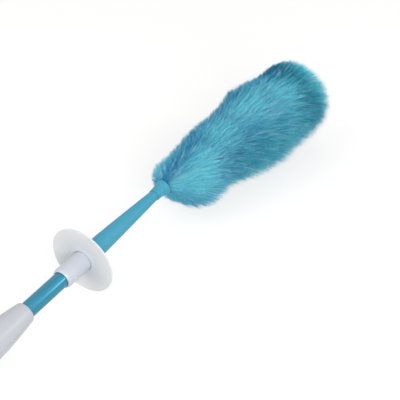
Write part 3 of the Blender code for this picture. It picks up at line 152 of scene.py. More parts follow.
@dataclass
class Skin:
    """Points and faces of a closed surface: face k has sizes[k] of the flat list of corners."""

    points: np.ndarray
    corners: np.ndarray
    sizes: np.ndarray

    def volume(self) -> float:
        """Return the volume inside, negative if the faces point inwards.

        Each face is a fan of triangles, and the volume is the sum of a . (b x c) / 6.

        Returns:
            The volume, in cubic metres.
        """
        first = np.cumsum(self.sizes) - self.sizes
        fans = self.sizes - 2
        face = np.repeat(np.arange(len(fans)), fans)
        step = np.arange(fans.sum()) - np.repeat(np.cumsum(fans) - fans, fans) + 1
        a = self.points[self.corners[first[face]]]
        b = self.points[self.corners[first[face] + step]]
        c = self.points[self.corners[first[face] + step + 1]]
        return float(np.einsum("ij,ij->i", a, np.cross(b, c)).sum() / 6)

    def facing_out(self) -> "Skin":
        """Return this surface with its faces turned outwards.

        Returns:
            The surface itself, or one whose faces run the other way round.
        """
        if self.volume() >= 0:
            return self
        first = np.cumsum(self.sizes) - self.sizes
        face = np.repeat(np.arange(len(self.sizes)), self.sizes)
        step = np.arange(len(self.corners)) - first[face]
        back = first[face] + self.sizes[face] - 1 - step
        return Skin(self.points, self.corners[back], self.sizes)

    def mesh(self, name: str, crease: float = CREASE) -> bpy.types.Mesh:
        """Write the surface into a Blender mesh.

        Args:
            name: The mesh's name.
            crease: Edges sharper than this many degrees stay sharp.

        Returns:
            The mesh, shaded smooth, its faces pointing outwards.
        """
        skin = self.facing_out()
        mesh = bpy.data.meshes.new(name)
        mesh.vertices.add(len(skin.points))
        mesh.vertices.foreach_set("co", skin.points.astype(np.float32).ravel())
        mesh.loops.add(len(skin.corners))
        mesh.loops.foreach_set("vertex_index", skin.corners.astype(np.int32))
        mesh.polygons.add(len(skin.sizes))
        starts = np.cumsum(skin.sizes) - skin.sizes
        mesh.polygons.foreach_set("loop_start", starts.astype(np.int32))
        mesh.update(calc_edges=True)
        mesh.validate()
        mesh.shade_smooth()
        mesh.set_sharp_from_angle(angle=math.radians(crease))
        return mesh


def ramp(value: np.ndarray, start: float, end: float) -> np.ndarray:
    """Rise evenly from 0 at the start to 1 at the end, and stay level beyond them."""
    return np.clip((value - start) / (end - start), 0.0, 1.0)


def lathe(
    axis: DusterAxis,
    profile: np.ndarray,
    count: int,
    first: float = 0.0,
    sweep: float = TURN,
    shift: tuple[float, float] = (0.0, 0.0),
) -> Skin:
    """Spin a profile about the axis.

    point(i, j) = axis point at x_i, radius r_i and angle first + sweep j / count

    Args:
        axis: The axis to spin about.
        profile: Rows of (along, radius). Ends at radius zero make a solid, else it is a loop.
        count: Steps round the sweep.
        first: Angle of the first column.
        sweep: Angle covered; under a full turn the loop gets a flat face at each end.
        shift: How far the turning axis lies to the left of and above the duster's axis.

    Returns:
        The closed surface.
    """
    full = sweep >= TURN - 1e-9
    solid = profile[0, 1] == 0.0 and profile[-1, 1] == 0.0
    rows = profile[1:-1] if solid else profile
    columns = count if full else count + 1
    angles = first + sweep * np.arange(columns) / count
    points = axis.points(rows[:, 0, None], rows[:, 1, None], angles[None, :]).reshape(-1, 3)
    i = np.arange(len(rows) - 1 if solid else len(rows))[:, None]
    j = np.arange(count)[None, :]
    after_i = (i + 1) % len(rows)
    after_j = (j + 1) % columns
    quads = np.stack(
        np.broadcast_arrays(
            i * columns + j, i * columns + after_j, after_i * columns + after_j, after_i * columns + j
        ),
        axis=-1,
    ).reshape(-1, 4)
    corners = [quads.ravel()]
    sizes = [np.full(len(quads), 4)]
    if solid:
        poles = axis.points(profile[[0, -1], 0], np.zeros(2), np.zeros(2))
        rear, front = len(points), len(points) + 1
        points = np.vstack([points, poles])
        around = np.arange(count)
        onward = (around + 1) % count
        last = (len(rows) - 1) * columns
        fans = [
            np.column_stack([np.full(count, rear), onward, around]),
            np.column_stack([np.full(count, front), last + around, last + onward]),
        ]
        corners += [fan.ravel() for fan in fans]
        sizes.append(np.full(2 * count, 3))
    elif not full:
        ring = np.arange(len(rows)) * columns
        corners += [ring, ring[::-1] + count]
        sizes.append(np.full(2, len(rows)))
    points = points + shift[0] * axis.left + shift[1] * axis.up
    return Skin(points, np.concatenate(corners), np.concatenate(sizes))


def rounded(corners: list[tuple[float, float, float]], steps: int = 5) -> np.ndarray:
    """Round the corners of a profile that is a loop.

    Round a corner c with fillet f, between the points a and b that lie f before and after it,
    the curve is (1-t)^2 a + 2 t (1-t) c + t^2 b.

    Args:
        corners: (along, radius, fillet) of each corner in order.
        steps: Points on each rounded corner.

    Returns:
        Rows of (along, radius).
    """
    table = np.array(corners, float)
    here = table[:, :2]
    fillet = table[:, 2:]
    before = np.roll(here, 1, axis=0) - here
    after = np.roll(here, -1, axis=0) - here
    a = here + fillet * before / np.linalg.norm(before, axis=1, keepdims=True)
    b = here + fillet * after / np.linalg.norm(after, axis=1, keepdims=True)
    t = np.linspace(0.0, 1.0, steps)[None, :, None]
    curve = (1 - t) ** 2 * a[:, None] + 2 * t * (1 - t) * here[:, None] + t**2 * b[:, None]
    keep = np.ones(curve.shape[:2], bool)
    keep[fillet[:, 0] == 0.0, 1:] = False
    return curve[keep]


class Bench:
    """A node material under construction, with its Principled shader."""

    def __init__(self, name: str) -> None:
        """Start a material of that name.

        Args:
            name: The material's name.
        """
        self.material = bpy.data.materials.new(name)
        self.material.use_nodes = True
        self.tree = self.material.node_tree
        self.shader = self.tree.nodes["Principled BSDF"]

    def node(self, kind: str, **settings: object) -> bpy.types.Node:
        """Add a node.

        Args:
            kind: The node's class name.
            settings: Properties to set on it.

        Returns:
            The node.
        """
        made = self.tree.nodes.new(kind)
        for name, value in settings.items():
            setattr(made, name, value)
        return made

    def link(self, source: Socket, target: Socket) -> None:
        """Join an output to an input."""
        self.tree.links.new(source, target)

    def place(self, tilt: float, along: float = 1.0) -> Socket:
        """Object coordinates turned to run along the duster, then stretched.

        Args:
            tilt: Angle by which the duster's axis rises.
            along: Factor on the coordinate along the axis.

        Returns:
            The vector output.
        """
        coordinates = self.node("ShaderNodeTexCoord")
        turned = self.node("ShaderNodeMapping")
        turned.inputs["Rotation"].default_value = (0.0, tilt, 0.0)
        scaled = self.node("ShaderNodeMapping")
        scaled.inputs["Scale"].default_value = (along, 1.0, 1.0)
        self.link(coordinates.outputs["Object"], turned.inputs["Vector"])
        self.link(turned.outputs["Vector"], scaled.inputs["Vector"])
        return scaled.outputs["Vector"]

    def noise(self, vector: Socket, scale: float, detail: float = 2.0) -> Socket:
        """Add noise of that scale at a vector.

        Args:
            vector: Where the noise is read.
            scale: Its scale, per metre.
            detail: How many finer layers it has.

        Returns:
            The value output.
        """
        made = self.node("ShaderNodeTexNoise")
        made.inputs["Scale"].default_value = scale
        made.inputs["Detail"].default_value = detail
        self.link(vector, made.inputs["Vector"])
        return made.outputs["Fac"]

    def spread(self, value: Socket, low: float, high: float) -> Socket:
        """Map a noise value, mostly 0.3 to 0.7, to a range.

        Args:
            value: The value to map.
            low: What the low end becomes.
            high: What the high end becomes.

        Returns:
            The mapped output.
        """
        made = self.node("ShaderNodeMapRange")
        made.inputs["From Min"].default_value = 0.3
        made.inputs["From Max"].default_value = 0.7
        made.inputs["To Min"].default_value = low
        made.inputs["To Max"].default_value = high
        self.link(value, made.inputs["Value"])
        return made.outputs["Result"]

    def blend(self, factor: Socket, low: tuple, high: tuple) -> Socket:
        """Mix two colours by a factor.

        Args:
            factor: How far the mix goes to the second colour.
            low: The colour at 0.
            high: The colour at 1.

        Returns:
            The colour output.
        """
        made = self.node("ShaderNodeMix", data_type="RGBA")
        made.inputs["A"].default_value = (*low, 1.0)
        made.inputs["B"].default_value = (*high, 1.0)
        self.link(factor, made.inputs["Factor"])
        return made.outputs["Result"]

    def scale(self, colour: Socket, factor: Socket) -> Socket:
        """Multiply a colour by a factor.

        Args:
            colour: The colour.
            factor: The factor.

        Returns:
            The colour output.
        """
        made = self.node("ShaderNodeVectorMath", operation="SCALE")
        self.link(colour, made.inputs["Vector"])
        self.link(factor, made.inputs["Scale"])
        return made.outputs["Vector"]

    def colour(self, source: Socket) -> None:
        """Take the shader's base colour from an output."""
        self.link(source, self.shader.inputs["Base Color"])

    def attribute(self, name: str, output: str) -> Socket:
        """Read one of the mesh's own attributes; returns the output of that name."""
        return self.node("ShaderNodeAttribute", attribute_name=name).outputs[output]

    def gloss(self, wear: Socket, roughness: float, spread: float) -> None:
        """Let the roughness vary with a noise value by that share either way."""
        rough = self.spread(wear, roughness * (1 - spread), roughness * (1 + spread))
        self.link(rough, self.shader.inputs["Roughness"])

    def bump(self, height: Socket, depth: float) -> None:
        """Add a bump of that depth in metres.

        Args:
            height: The relief, from 0 to 1.
            depth: How far it stands out, in metres.
        """
        made = self.node("ShaderNodeBump")
        made.inputs["Strength"].default_value = 1.0
        made.inputs["Distance"].default_value = depth
        self.link(height, made.inputs["Height"])
        self.link(made.outputs["Normal"], self.shader.inputs["Normal"])

    def fixed(self, **sockets: float | tuple) -> None:
        """Set constants on the shader's own sockets, underscores standing for spaces."""
        for name, value in sockets.items():
            self.shader.inputs[name.replace("_", " ")].default_value = value


def shade(colour: Colour, factor: float) -> Colour:
    """Return a colour times a factor, kept under one."""
    return tuple(min(1.0, part * factor) for part in colour)


@dataclass(frozen=True)
class Plastic:
    """Moulded plastic: faint clouding of the colour, a fine mould grain and uneven gloss."""

    name: str
    slot: str
    colour: Colour
    roughness: float
    coat: float = 0.0
    coat_roughness: float = 0.18
    grain_depth: float = 0.000012
    grain_scale: float = 2600.0
    clouding: float = 0.03
    cloud_scale: float = 26.0
    wear: float = 0.12
    wear_scale: float = 90.0

    def base(self, bench: Bench, place: Socket) -> Socket:
        """Return the base colour, clouded by a broad noise.

        Args:
            bench: The material under construction.
            place: Coordinates along the duster.

        Returns:
            The colour output.
        """
        low = shade(self.colour, 1 - self.clouding)
        high = shade(self.colour, 1 + self.clouding)
        return bench.blend(bench.noise(place, self.cloud_scale, 3.0), low, high)

    def material(self, axis: DusterAxis) -> bpy.types.Material:
        """Build the node material.

        Args:
            axis: The duster's axis, whose tilt turns the coordinates.

        Returns:
            The material.
        """
        bench = Bench(self.name)
        place = bench.place(axis.tilt)
        bench.colour(self.base(bench, place))
        bench.gloss(bench.noise(place, self.wear_scale, 4.0), self.roughness, self.wear)
        bench.bump(bench.noise(place, self.grain_scale), self.grain_depth)
        bench.fixed(Coat_Weight=self.coat, Coat_Roughness=self.coat_roughness)
        return bench.material


@dataclass(frozen=True)
class DishWithPaintedShade(Plastic):
    """Thin moulded plastic, of its colour at the rim and darker and bluer at its root: painted shade round
    the collar.
    """

    # Painted shade: a darker, bluer colour where the guard meets the collar.
    root: Colour = (0.50, 0.555, 0.605)

    def base(self, bench: Bench, place: Socket) -> Socket:
        """Return the base colour, by the mesh's share of the way from root to rim: painted shade at the root.
        """
        return bench.blend(bench.attribute("share", "Fac"), self.root, self.colour)


@dataclass(frozen=True)
class Metal:
    """Drawn or stamped metal, or metal under a thin clear colour.

    Fine lines and broad lengthwise bands, both of stretched noise, vary its colour, and the
    edge colour tints what it reflects at a grazing angle.
    """

    name: str
    slot: str
    colour: Colour
    roughness: float
    metallic: float = 1.0
    line_depth: float = 0.000006
    line_scale: float = 1800.0
    line_stretch: float = 0.03
    line_shade: float = 0.06
    wear: float = 0.15
    coat: float = 0.0
    coat_roughness: float = 0.08
    bands: float = 0.0
    band_scale: float = 85.0
    band_stretch: float = 0.004
    edge: Colour = (1.0, 1.0, 1.0)

    def material(self, axis: DusterAxis) -> bpy.types.Material:
        """Build the node material.

        Args:
            axis: The duster's axis, whose tilt turns the coordinates.

        Returns:
            The material.
        """
        bench = Bench(self.name)
        lines = bench.noise(bench.place(axis.tilt, self.line_stretch), self.line_scale, 3.0)
        wide = bench.noise(bench.place(axis.tilt, self.band_stretch), self.band_scale, 1.0)
        low = shade(self.colour, 1 - self.bands)
        high = shade(self.colour, 1 + self.bands)
        banded = bench.blend(bench.spread(wide, 0.0, 1.0), low, high)
        lined = bench.spread(lines, 1 - self.line_shade, 1 + self.line_shade)
        bench.colour(bench.scale(banded, lined))
        bench.gloss(lines, self.roughness, self.wear)
        bench.bump(lines, self.line_depth)
        bench.fixed(Metallic=self.metallic, Coat_Weight=self.coat)
        bench.fixed(Coat_Roughness=self.coat_roughness, Specular_Tint=(*self.edge, 1.0))
        return bench.material


@dataclass(frozen=True)
class Sleeve:
    """Printed film of a cell: a dark body, a copper-coloured band and bare metal ends."""

    name: str
    slot: str
    body: Colour
    band: Colour
    metal: Colour
    band_from: float = 0.74
    metal_from: float = 0.955
    metal_to: float = 0.02
    scuff_scale: float = 300.0
    scuff_depth: float = 0.00001
    roughness: Span = (0.22, 0.4)
    metallic: float = 0.55
    coat: float = 0.3

    def material(self, axis: DusterAxis) -> bpy.types.Material:
        """Build the node material, which reads the share along the cell from an attribute.

        Args:
            axis: The duster's axis, whose tilt turns the coordinates.

        Returns:
            The material.
        """
        bench = Bench(self.name)
        ramp = bench.node("ShaderNodeValToRGB")
        ramp.color_ramp.interpolation = "CONSTANT"
        stops = [
            (0.0, self.metal),
            (self.metal_to, self.body),
            (self.band_from, self.band),
            (self.metal_from, self.metal),
        ]
        elements = ramp.color_ramp.elements
        elements[0].color = (*stops[0][1], 1.0)
        elements[1].position = stops[1][0]
        elements[1].color = (*stops[1][1], 1.0)
        for position, colour in stops[2:]:
            elements.new(position).color = (*colour, 1.0)
        bench.link(bench.attribute("share", "Fac"), ramp.inputs["Fac"])
        bench.colour(ramp.outputs["Color"])
        scuffs = bench.noise(bench.place(axis.tilt), self.scuff_scale, 4.0)
        bench.link(bench.spread(scuffs, *self.roughness), bench.shader.inputs["Roughness"])
        bench.bump(scuffs, self.scuff_depth)
        bench.fixed(Metallic=self.metallic, Coat_Weight=self.coat)
        return bench.material


@dataclass(frozen=True)
class Board:
    """Lacquered circuit board with its glass weave showing faintly."""

    name: str
    slot: str
    colour: Colour
    weave_scale: float = 900.0
    weave_distortion: float = 2.0
    weave_depth: float = 0.00001
    weave_shades: Span = (0.85, 1.2)
    roughness: float = 0.3
    coat: float = 0.5

    def material(self, axis: DusterAxis) -> bpy.types.Material:
        """Build the node material.

        Args:
            axis: The duster's axis, whose tilt turns the coordinates.

        Returns:
            The material.
        """
        bench = Bench(self.name)
        place = bench.place(axis.tilt)
        weave = bench.node("ShaderNodeTexWave", wave_type="BANDS", bands_direction="DIAGONAL")
        weave.inputs["Scale"].default_value = self.weave_scale
        weave.inputs["Distortion"].default_value = self.weave_distortion
        bench.link(place, weave.inputs["Vector"])
        low, high = (shade(self.colour, factor) for factor in self.weave_shades)
        bench.colour(bench.blend(weave.outputs["Fac"], low, high))
        bench.bump(weave.outputs["Fac"], self.weave_depth)
        bench.fixed(Roughness=self.roughness, Coat_Weight=self.coat)
        return bench.material


@dataclass(frozen=True)
class Fibre:
    """Fine synthetic fibre: its colour comes from the strand, broken up by a fine noise."""

    name: str
    slot: str
    roughness: float = 0.6
    specular: float = 0.25
    sheen: float = 0.45
    sheen_roughness: float = 0.4
    sheen_tint: Colour = (0.26, 0.78, 1.0)
    speckle: float = 0.14
    speckle_scale: float = 420.0
    speckle_stretch: float = 0.5

    def material(self, axis: DusterAxis) -> bpy.types.Material:
        """Build the node material, which reads the strands' colour attribute.

        Args:
            axis: The duster's axis, whose tilt turns the coordinates.

        Returns:
            The material.
        """
        bench = Bench(self.name)
        strand = bench.attribute("strand_colour", "Color")
        fine = bench.noise(bench.place(axis.tilt, self.speckle_stretch), self.speckle_scale, 3.0)
        bench.colour(bench.scale(strand, bench.spread(fine, 1 - self.speckle, 1 + self.speckle)))
        bench.fixed(
            Roughness=self.roughness,
            Sheen_Weight=self.sheen,
            Sheen_Roughness=self.sheen_roughness,
            Sheen_Tint=(*self.sheen_tint, 1.0),
            Specular_IOR_Level=self.specular,
        )
        return bench.material


Finish = Plastic | Metal | Sleeve | Board | Fibre

SHELL_WHITE = Plastic(
    "shell_white", "handle_white", (0.490, 0.505, 0.545), 0.34, coat=0.15, clouding=0.05
)
COLLAR_WHITE = Plastic("collar_white", "collar_white", (0.545, 0.575, 0.635), 0.30, coat=0.25)
# The guard fades to painted shade round the collar's root.
GUARD_WHITE = DishWithPaintedShade("guard_white", "guard_white", (0.755, 0.757, 0.76), 0.36, coat=0.1)
NECK_BLUE = Plastic("neck_blue", "neck_blue", (0.045, 0.320, 0.465), 0.52)
FERRULE_BLUE = Plastic("ferrule_blue", "ferrule_blue", (0.048, 0.325, 0.470), 0.50)
BUTTON_BLUE = Plastic("button_rubber", "button_blue", (0.070, 0.365, 0.520), 0.62, grain_depth=0.00002)
CORE_WHITE = Plastic("core_white", "core_white", (0.60, 0.66, 0.68), 0.45)
NYLON = Plastic("nylon_natural", "nylon", (0.72, 0.70, 0.62), 0.42)
DARK_PLASTIC = Plastic("tray_black", "dark_plastic", (0.028, 0.028, 0.032), 0.42, clouding=0.08)
LEAD_RED = Plastic("lead_red", "wire_red", (0.45, 0.02, 0.02), 0.40)
LEAD_BLACK = Plastic("lead_black", "wire_black", (0.02, 0.02, 0.02), 0.40)
TUBE_BLUE = Metal(
    "tube_blue", "tube_blue", (0.042, 0.255, 0.380), 0.22,
    metallic=0.45, coat=0.30, bands=0.20, edge=(0.10, 0.35, 0.45),
)
STEEL = Metal("steel", "steel", (0.56, 0.56, 0.57), 0.28)
MOTOR_CAN = Metal("motor_can", "motor_can", (0.50, 0.50, 0.50), 0.34)
BRASS = Metal("brass", "brass", (0.70, 0.52, 0.22), 0.30)
CELL_FILM = Sleeve(
    "cell_film", "cell_sleeve", (0.03, 0.032, 0.036), (0.45, 0.23, 0.10), (0.60, 0.60, 0.61)
)
BOARD_GREEN = Board("board_green", "board_green", (0.02, 0.13, 0.055))
FIBRE_BLUE = Fibre("fibre_blue", "fibre_blue")


class Wardrobe:
    """Makes each finish's material once and puts pieces into the scene."""

    def __init__(self, axis: DusterAxis) -> None:
        """Start with no material made."""
        self.axis = axis
        self.made: dict[str, bpy.types.Material] = {}

    def material(self, finish: Finish) -> bpy.types.Material:
        """Return the finish's material, made on first use.

        Args:
            finish: The finish.

        Returns:
            The material.
        """
        if finish.name not in self.made:
            self.made[finish.name] = finish.material(self.axis)
        return self.made[finish.name]

    def dress(
        self,
        name: str,
        mesh: bpy.types.Mesh,
        finish: Finish,
        body: Body,
        stands_for: tuple[str, ...] = (),
    ) -> bpy.types.Object:
        """Put a mesh into the scene as a piece of the duster.

        Args:
            name: The piece's name.
            mesh: Its mesh, already in place.
            finish: What it is made of.
            body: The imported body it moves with.
            stands_for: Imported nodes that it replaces.

        Returns:
            The piece.
        """
        mesh.materials.clear()
        mesh.materials.append(self.material(finish))
        piece = bpy.data.objects.new(name, mesh)
        bpy.context.scene.collection.objects.link(piece)
        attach(piece, body.value)
        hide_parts(*stands_for)
        LOG.info("%s: %d faces, on %s", name, len(mesh.polygons), body.value)
        return piece


def with_values(mesh: bpy.types.Mesh, name: str, values: np.ndarray) -> bpy.types.Mesh:
    """Give a mesh a value at each of its points.

    Args:
        mesh: The mesh.
        name: The attribute's name.
        values: One number a point, or one row of four as a colour.

    Returns:
        The mesh.
    """
    kind, key = ("FLOAT", "value") if values.ndim == 1 else ("FLOAT_COLOR", "color")
    layer = mesh.attributes.new(name, kind, "POINT")
    layer.data.foreach_set(key, values.astype(np.float32).ravel())
    return mesh


def carve(mesh: bpy.types.Mesh, skins: list[tuple[str, Skin]]) -> bpy.types.Mesh:
    """Cut and join closed surfaces with a mesh by exact Booleans.

    Args:
        mesh: The mesh to work on.
        skins: (operation, surface) pairs, the operation being UNION or DIFFERENCE.

    Returns:
        A new mesh with every operation applied.
    """
    work = bpy.data.objects.new("work", mesh)
    bpy.context.scene.collection.objects.link(work)
    tools = []
    for operation, skin in skins:
        helper = bpy.data.objects.new("helper", skin.mesh("helper"))
        bpy.context.scene.collection.objects.link(helper)
        tools.append(helper)
        step = work.modifiers.new("step", "BOOLEAN")
        step.operation = operation
        step.solver = "EXACT"
        step.object = helper
    depsgraph = bpy.context.evaluated_depsgraph_get()
    shown = work.evaluated_get(depsgraph)
    result = bpy.data.meshes.new_from_object(shown)
    for piece in [work, *tools]:
        bpy.data.objects.remove(piece, do_unlink=True)
    result.shade_smooth()
    result.set_sharp_from_angle(angle=math.radians(CREASE))
    return result


@dataclass
class Handle:
    """The two handle shells, the end cap and the button."""

    axis: DusterAxis
    mouth: float = -0.1145
    mouth_radius: float = 0.0143
    grip_radius: float = 0.0215
    flare_length: float = 0.080
    rear: float = -0.2905
    wall: float = 0.002
    edge: float = 0.0005
    lead_in: float = 0.0004
    mouth_ring: float = 0.006
    lip: float = 0.0012
    tube_radius: float = 0.011
    rib: float = 0.003
    ribs: tuple[Span, ...] = (
        (-0.2249, 0.0162),
        (-0.2119, 0.0105),
        (-0.2056, 0.0123),
        (-0.1821, 0.0123),
        (-0.1612, 0.0142),
        (-0.1563, 0.0079),
    )
    tube_rib: float = -0.1485
    parting: float = GAP
    boss_radius: float = 0.0032
    boss_offset: float = 0.0125
    boss_grip: float = 0.8
    boss_places: tuple[float, float] = (-0.1607, -0.2184)
    screw_radius: float = 0.00125
    screw_head_radius: float = 0.00225
    screw_seat: float = 0.008
    screw_reach: float = 0.008
    overcut: float = 0.001
    button_place: float = -0.1945
    button_radius: float = 0.0053
    button_stand: float = 0.0012
    button_hole: Span = (0.012, 0.03)
    button_rim: float = 0.0009
    button_rim_from: float = 0.72
    button_hollow: float = 0.00035
    button_hollow_to: float = 0.6
    plunger_foot: float = 0.0151
    plunger_radius: float = 0.0015
    flange: Span = (0.0175, 0.0182)
    flange_radius: float = 0.0066
    cap_rear: float = -0.3088
    cap_fillet: float = 0.003
    cap_floor: float = 0.0025
    cap_ledge: float = -0.2883
    cap_step: float = 0.0011
    plug_length: float = 0.005
    plug_wall: float = 0.0015
    flat_share: float = 0.4
    segments: int = 96

    def radius(self, x: np.ndarray) -> np.ndarray:
        """Outer radius: a quarter sine of the share of the flare, from the mouth to the grip."""
        share = ramp(x, self.mouth, self.mouth - self.flare_length)
        return self.mouth_radius + (self.grip_radius - self.mouth_radius) * np.sin(math.pi / 2 * share)

    def shell_profile(self) -> np.ndarray:
        """Return the loop of one shell's cut: outer side, rear edge, ribs inside and mouth.

        A rib is given by its front face and by how near the axis it reaches.

        Returns:
            Rows of (along, radius).
        """
        bore = self.tube_radius + GAP
        outer_x = np.linspace(self.mouth - self.lip, self.rear + self.edge, 60)
        bend = np.linspace(0.0, math.pi / 2, 7)[:-1]
        lip = np.column_stack(
            [
                self.mouth - self.lip * (1 - np.cos(bend)),
                self.mouth_radius - self.lip * (1 - np.sin(bend)),
            ]
        )
        outer = np.column_stack([outer_x, self.radius(outer_x)])
        inner = [(self.rear, self.grip_radius - self.edge), (self.rear, self.grip_radius - self.wall)]
        for front, reach in (*self.ribs, (self.tube_rib, bore)):
            back = front - self.rib
            wall_back = float(self.radius(np.array(back))) - self.wall
            wall_front = float(self.radius(np.array(front))) - self.wall
            inner += [(back, wall_back), (back, reach), (front, reach), (front, wall_front)]
        ring = self.mouth - self.mouth_ring
        inner += [
            (ring, float(self.radius(np.array(ring))) - self.wall),
            (ring, bore),
            (self.mouth - self.lead_in, bore),
            (self.mouth, bore + self.lead_in),
        ]
        return np.vstack([outer, inner, lip])

    def stand(self, x: float, y: float = 0.0) -> DusterAxis:
        """Return an upright axis that crosses the handle, its angles counted from ahead."""
        foot = self.axis.origin + x * self.axis.along + y * self.axis.left
        return DusterAxis(foot, self.axis.up, self.axis.along, self.axis.left)

    def upright(self, x: float, y: float, radius: float, low: float, high: float, count: int = 24) -> Skin:
        """Return an upright round bar at a place along and to the left, between two heights."""
        profile = np.array([(low, 0.0), (low, radius), (high, radius), (high, 0.0)])
        return lathe(self.stand(x, y), profile, count)

    def shell(self, half: Half, wardrobe: Wardrobe) -> None:
        """Build one shell with its bosses, screw wells and, on top, the button's hole.

        Args:
            half: Which of the two shells.
            wardrobe: Dresses the piece.
        """
        side = half.value
        first = 0.0 if half is Half.TOP else math.pi
        face = side * self.parting / 2
        skin = lathe(self.axis, self.shell_profile(), self.segments // 2, first, math.pi, (0.0, face))
        steps = []
        spots = [(x, y) for x in self.boss_places for y in (-self.boss_offset, self.boss_offset)]
        for x, y in spots:
            wall = float(self.radius(np.array(x))) - self.wall / 2
            tall = math.sqrt(wall**2 - (abs(y) + self.boss_radius * self.boss_grip) ** 2)
            reach = sorted([face, side * tall])
            steps.append(("UNION", self.upright(x, y, self.boss_radius, *reach)))
        deep = -self.grip_radius - 2 * self.overcut
        for x, y in spots:
            if half is Half.TOP:
                hole = self.upright(x, y, self.screw_radius, -self.overcut, self.screw_reach)
                steps.append(("DIFFERENCE", hole))
            else:
                hole = self.upright(x, y, self.screw_radius, deep, self.overcut)
                well = self.upright(x, y, self.screw_head_radius, deep, -self.screw_seat)
                steps += [("DIFFERENCE", hole), ("DIFFERENCE", well)]
        if half is Half.TOP:
            hole = self.upright(self.button_place, 0.0, self.button_radius + GAP, *self.button_hole, 64)
            steps.append(("DIFFERENCE", hole))
        mesh = carve(skin.mesh("shell"), steps)
        name = f"handle_shell_{half.name.lower()}"
        wardrobe.dress(f"grip_{half.name.lower()}", mesh, SHELL_WHITE, Body.HANDLE, (name,))

    def end_cap(self, wardrobe: Wardrobe) -> None:
        """Build the end cap, its plug and the flat it lies on.

        Args:
            wardrobe: Dresses the piece.
        """
        front = self.rear - GAP
        plug = self.grip_radius - self.wall - GAP
        bore = plug - self.plug_wall
        rim = self.rear + self.plug_length
        bend = np.linspace(0.0, math.pi / 2, 10)
        nose = np.column_stack(
            [
                self.cap_rear + self.cap_fillet * (1 - np.sin(bend)),
                self.grip_radius - self.cap_fillet * (1 - np.cos(bend)),
            ]
        )
        inside = self.cap_rear + self.cap_floor
        profile = np.vstack(
            [
                [
                    (inside, 0.0),
                    (inside, bore - self.cap_step),
                    (self.cap_ledge, bore - self.cap_step),
                    (self.cap_ledge, bore),
                    (rim, bore),
                    (rim, plug - self.lead_in),
                    (rim - self.lead_in, plug),
                    (front, plug),
                    (front, self.grip_radius - self.edge),
                    (front - self.edge, self.grip_radius),
                ],
                nose,
                [(self.cap_rear, self.grip_radius * self.flat_share), (self.cap_rear, 0.0)],
            ]
        )
        skin = lathe(self.axis, profile, 2 * self.segments)
        skin.points[:, 2] = np.maximum(skin.points[:, 2], 0.0)
        wardrobe.dress("cap_shell", skin.mesh("cap_shell", 30.0), SHELL_WHITE, Body.CARTRIDGE, ("end_cap",))

    def button(self, wardrobe: Wardrobe) -> None:
        """Build the button, whose top falls to its rim along an ellipse and dips to its middle.

        Args:
            wardrobe: Dresses the piece.
        """
        crown = self.grip_radius + self.button_stand
        bottom, flange = self.flange
        share = np.linspace(0.0, 1.0, 18)
        fall = 1 - np.sqrt(1 - ramp(share, self.button_rim_from, 1.0) ** 2)
        dip = ramp(share, self.button_hollow_to, 0.0) ** 2
        drop = self.button_rim * fall + self.button_hollow * dip
        top = np.column_stack([crown - drop, self.button_radius * share])[::-1]
        profile = np.vstack(
            [
                [
                    (self.plunger_foot, 0.0),
                    (self.plunger_foot, self.plunger_radius),
                    (bottom, self.plunger_radius),
                    (bottom, self.flange_radius),
                    (flange, self.flange_radius),
                    (flange, self.button_radius),
                ],
                top,
            ]
        )
        mesh = lathe(self.stand(self.button_place), profile, 48).mesh("button_cap", 50.0)
        wardrobe.dress("button_cap", mesh, BUTTON_BLUE, Body.BUTTON, ("button",))

    def build(self, wardrobe: Wardrobe) -> None:
        """Build every piece of the handle's outside.

        Args:
            wardrobe: Dresses the pieces.
        """
        for half in Half:
            self.shell(half, wardrobe)
        self.end_cap(wardrobe)
        self.button(wardrobe)


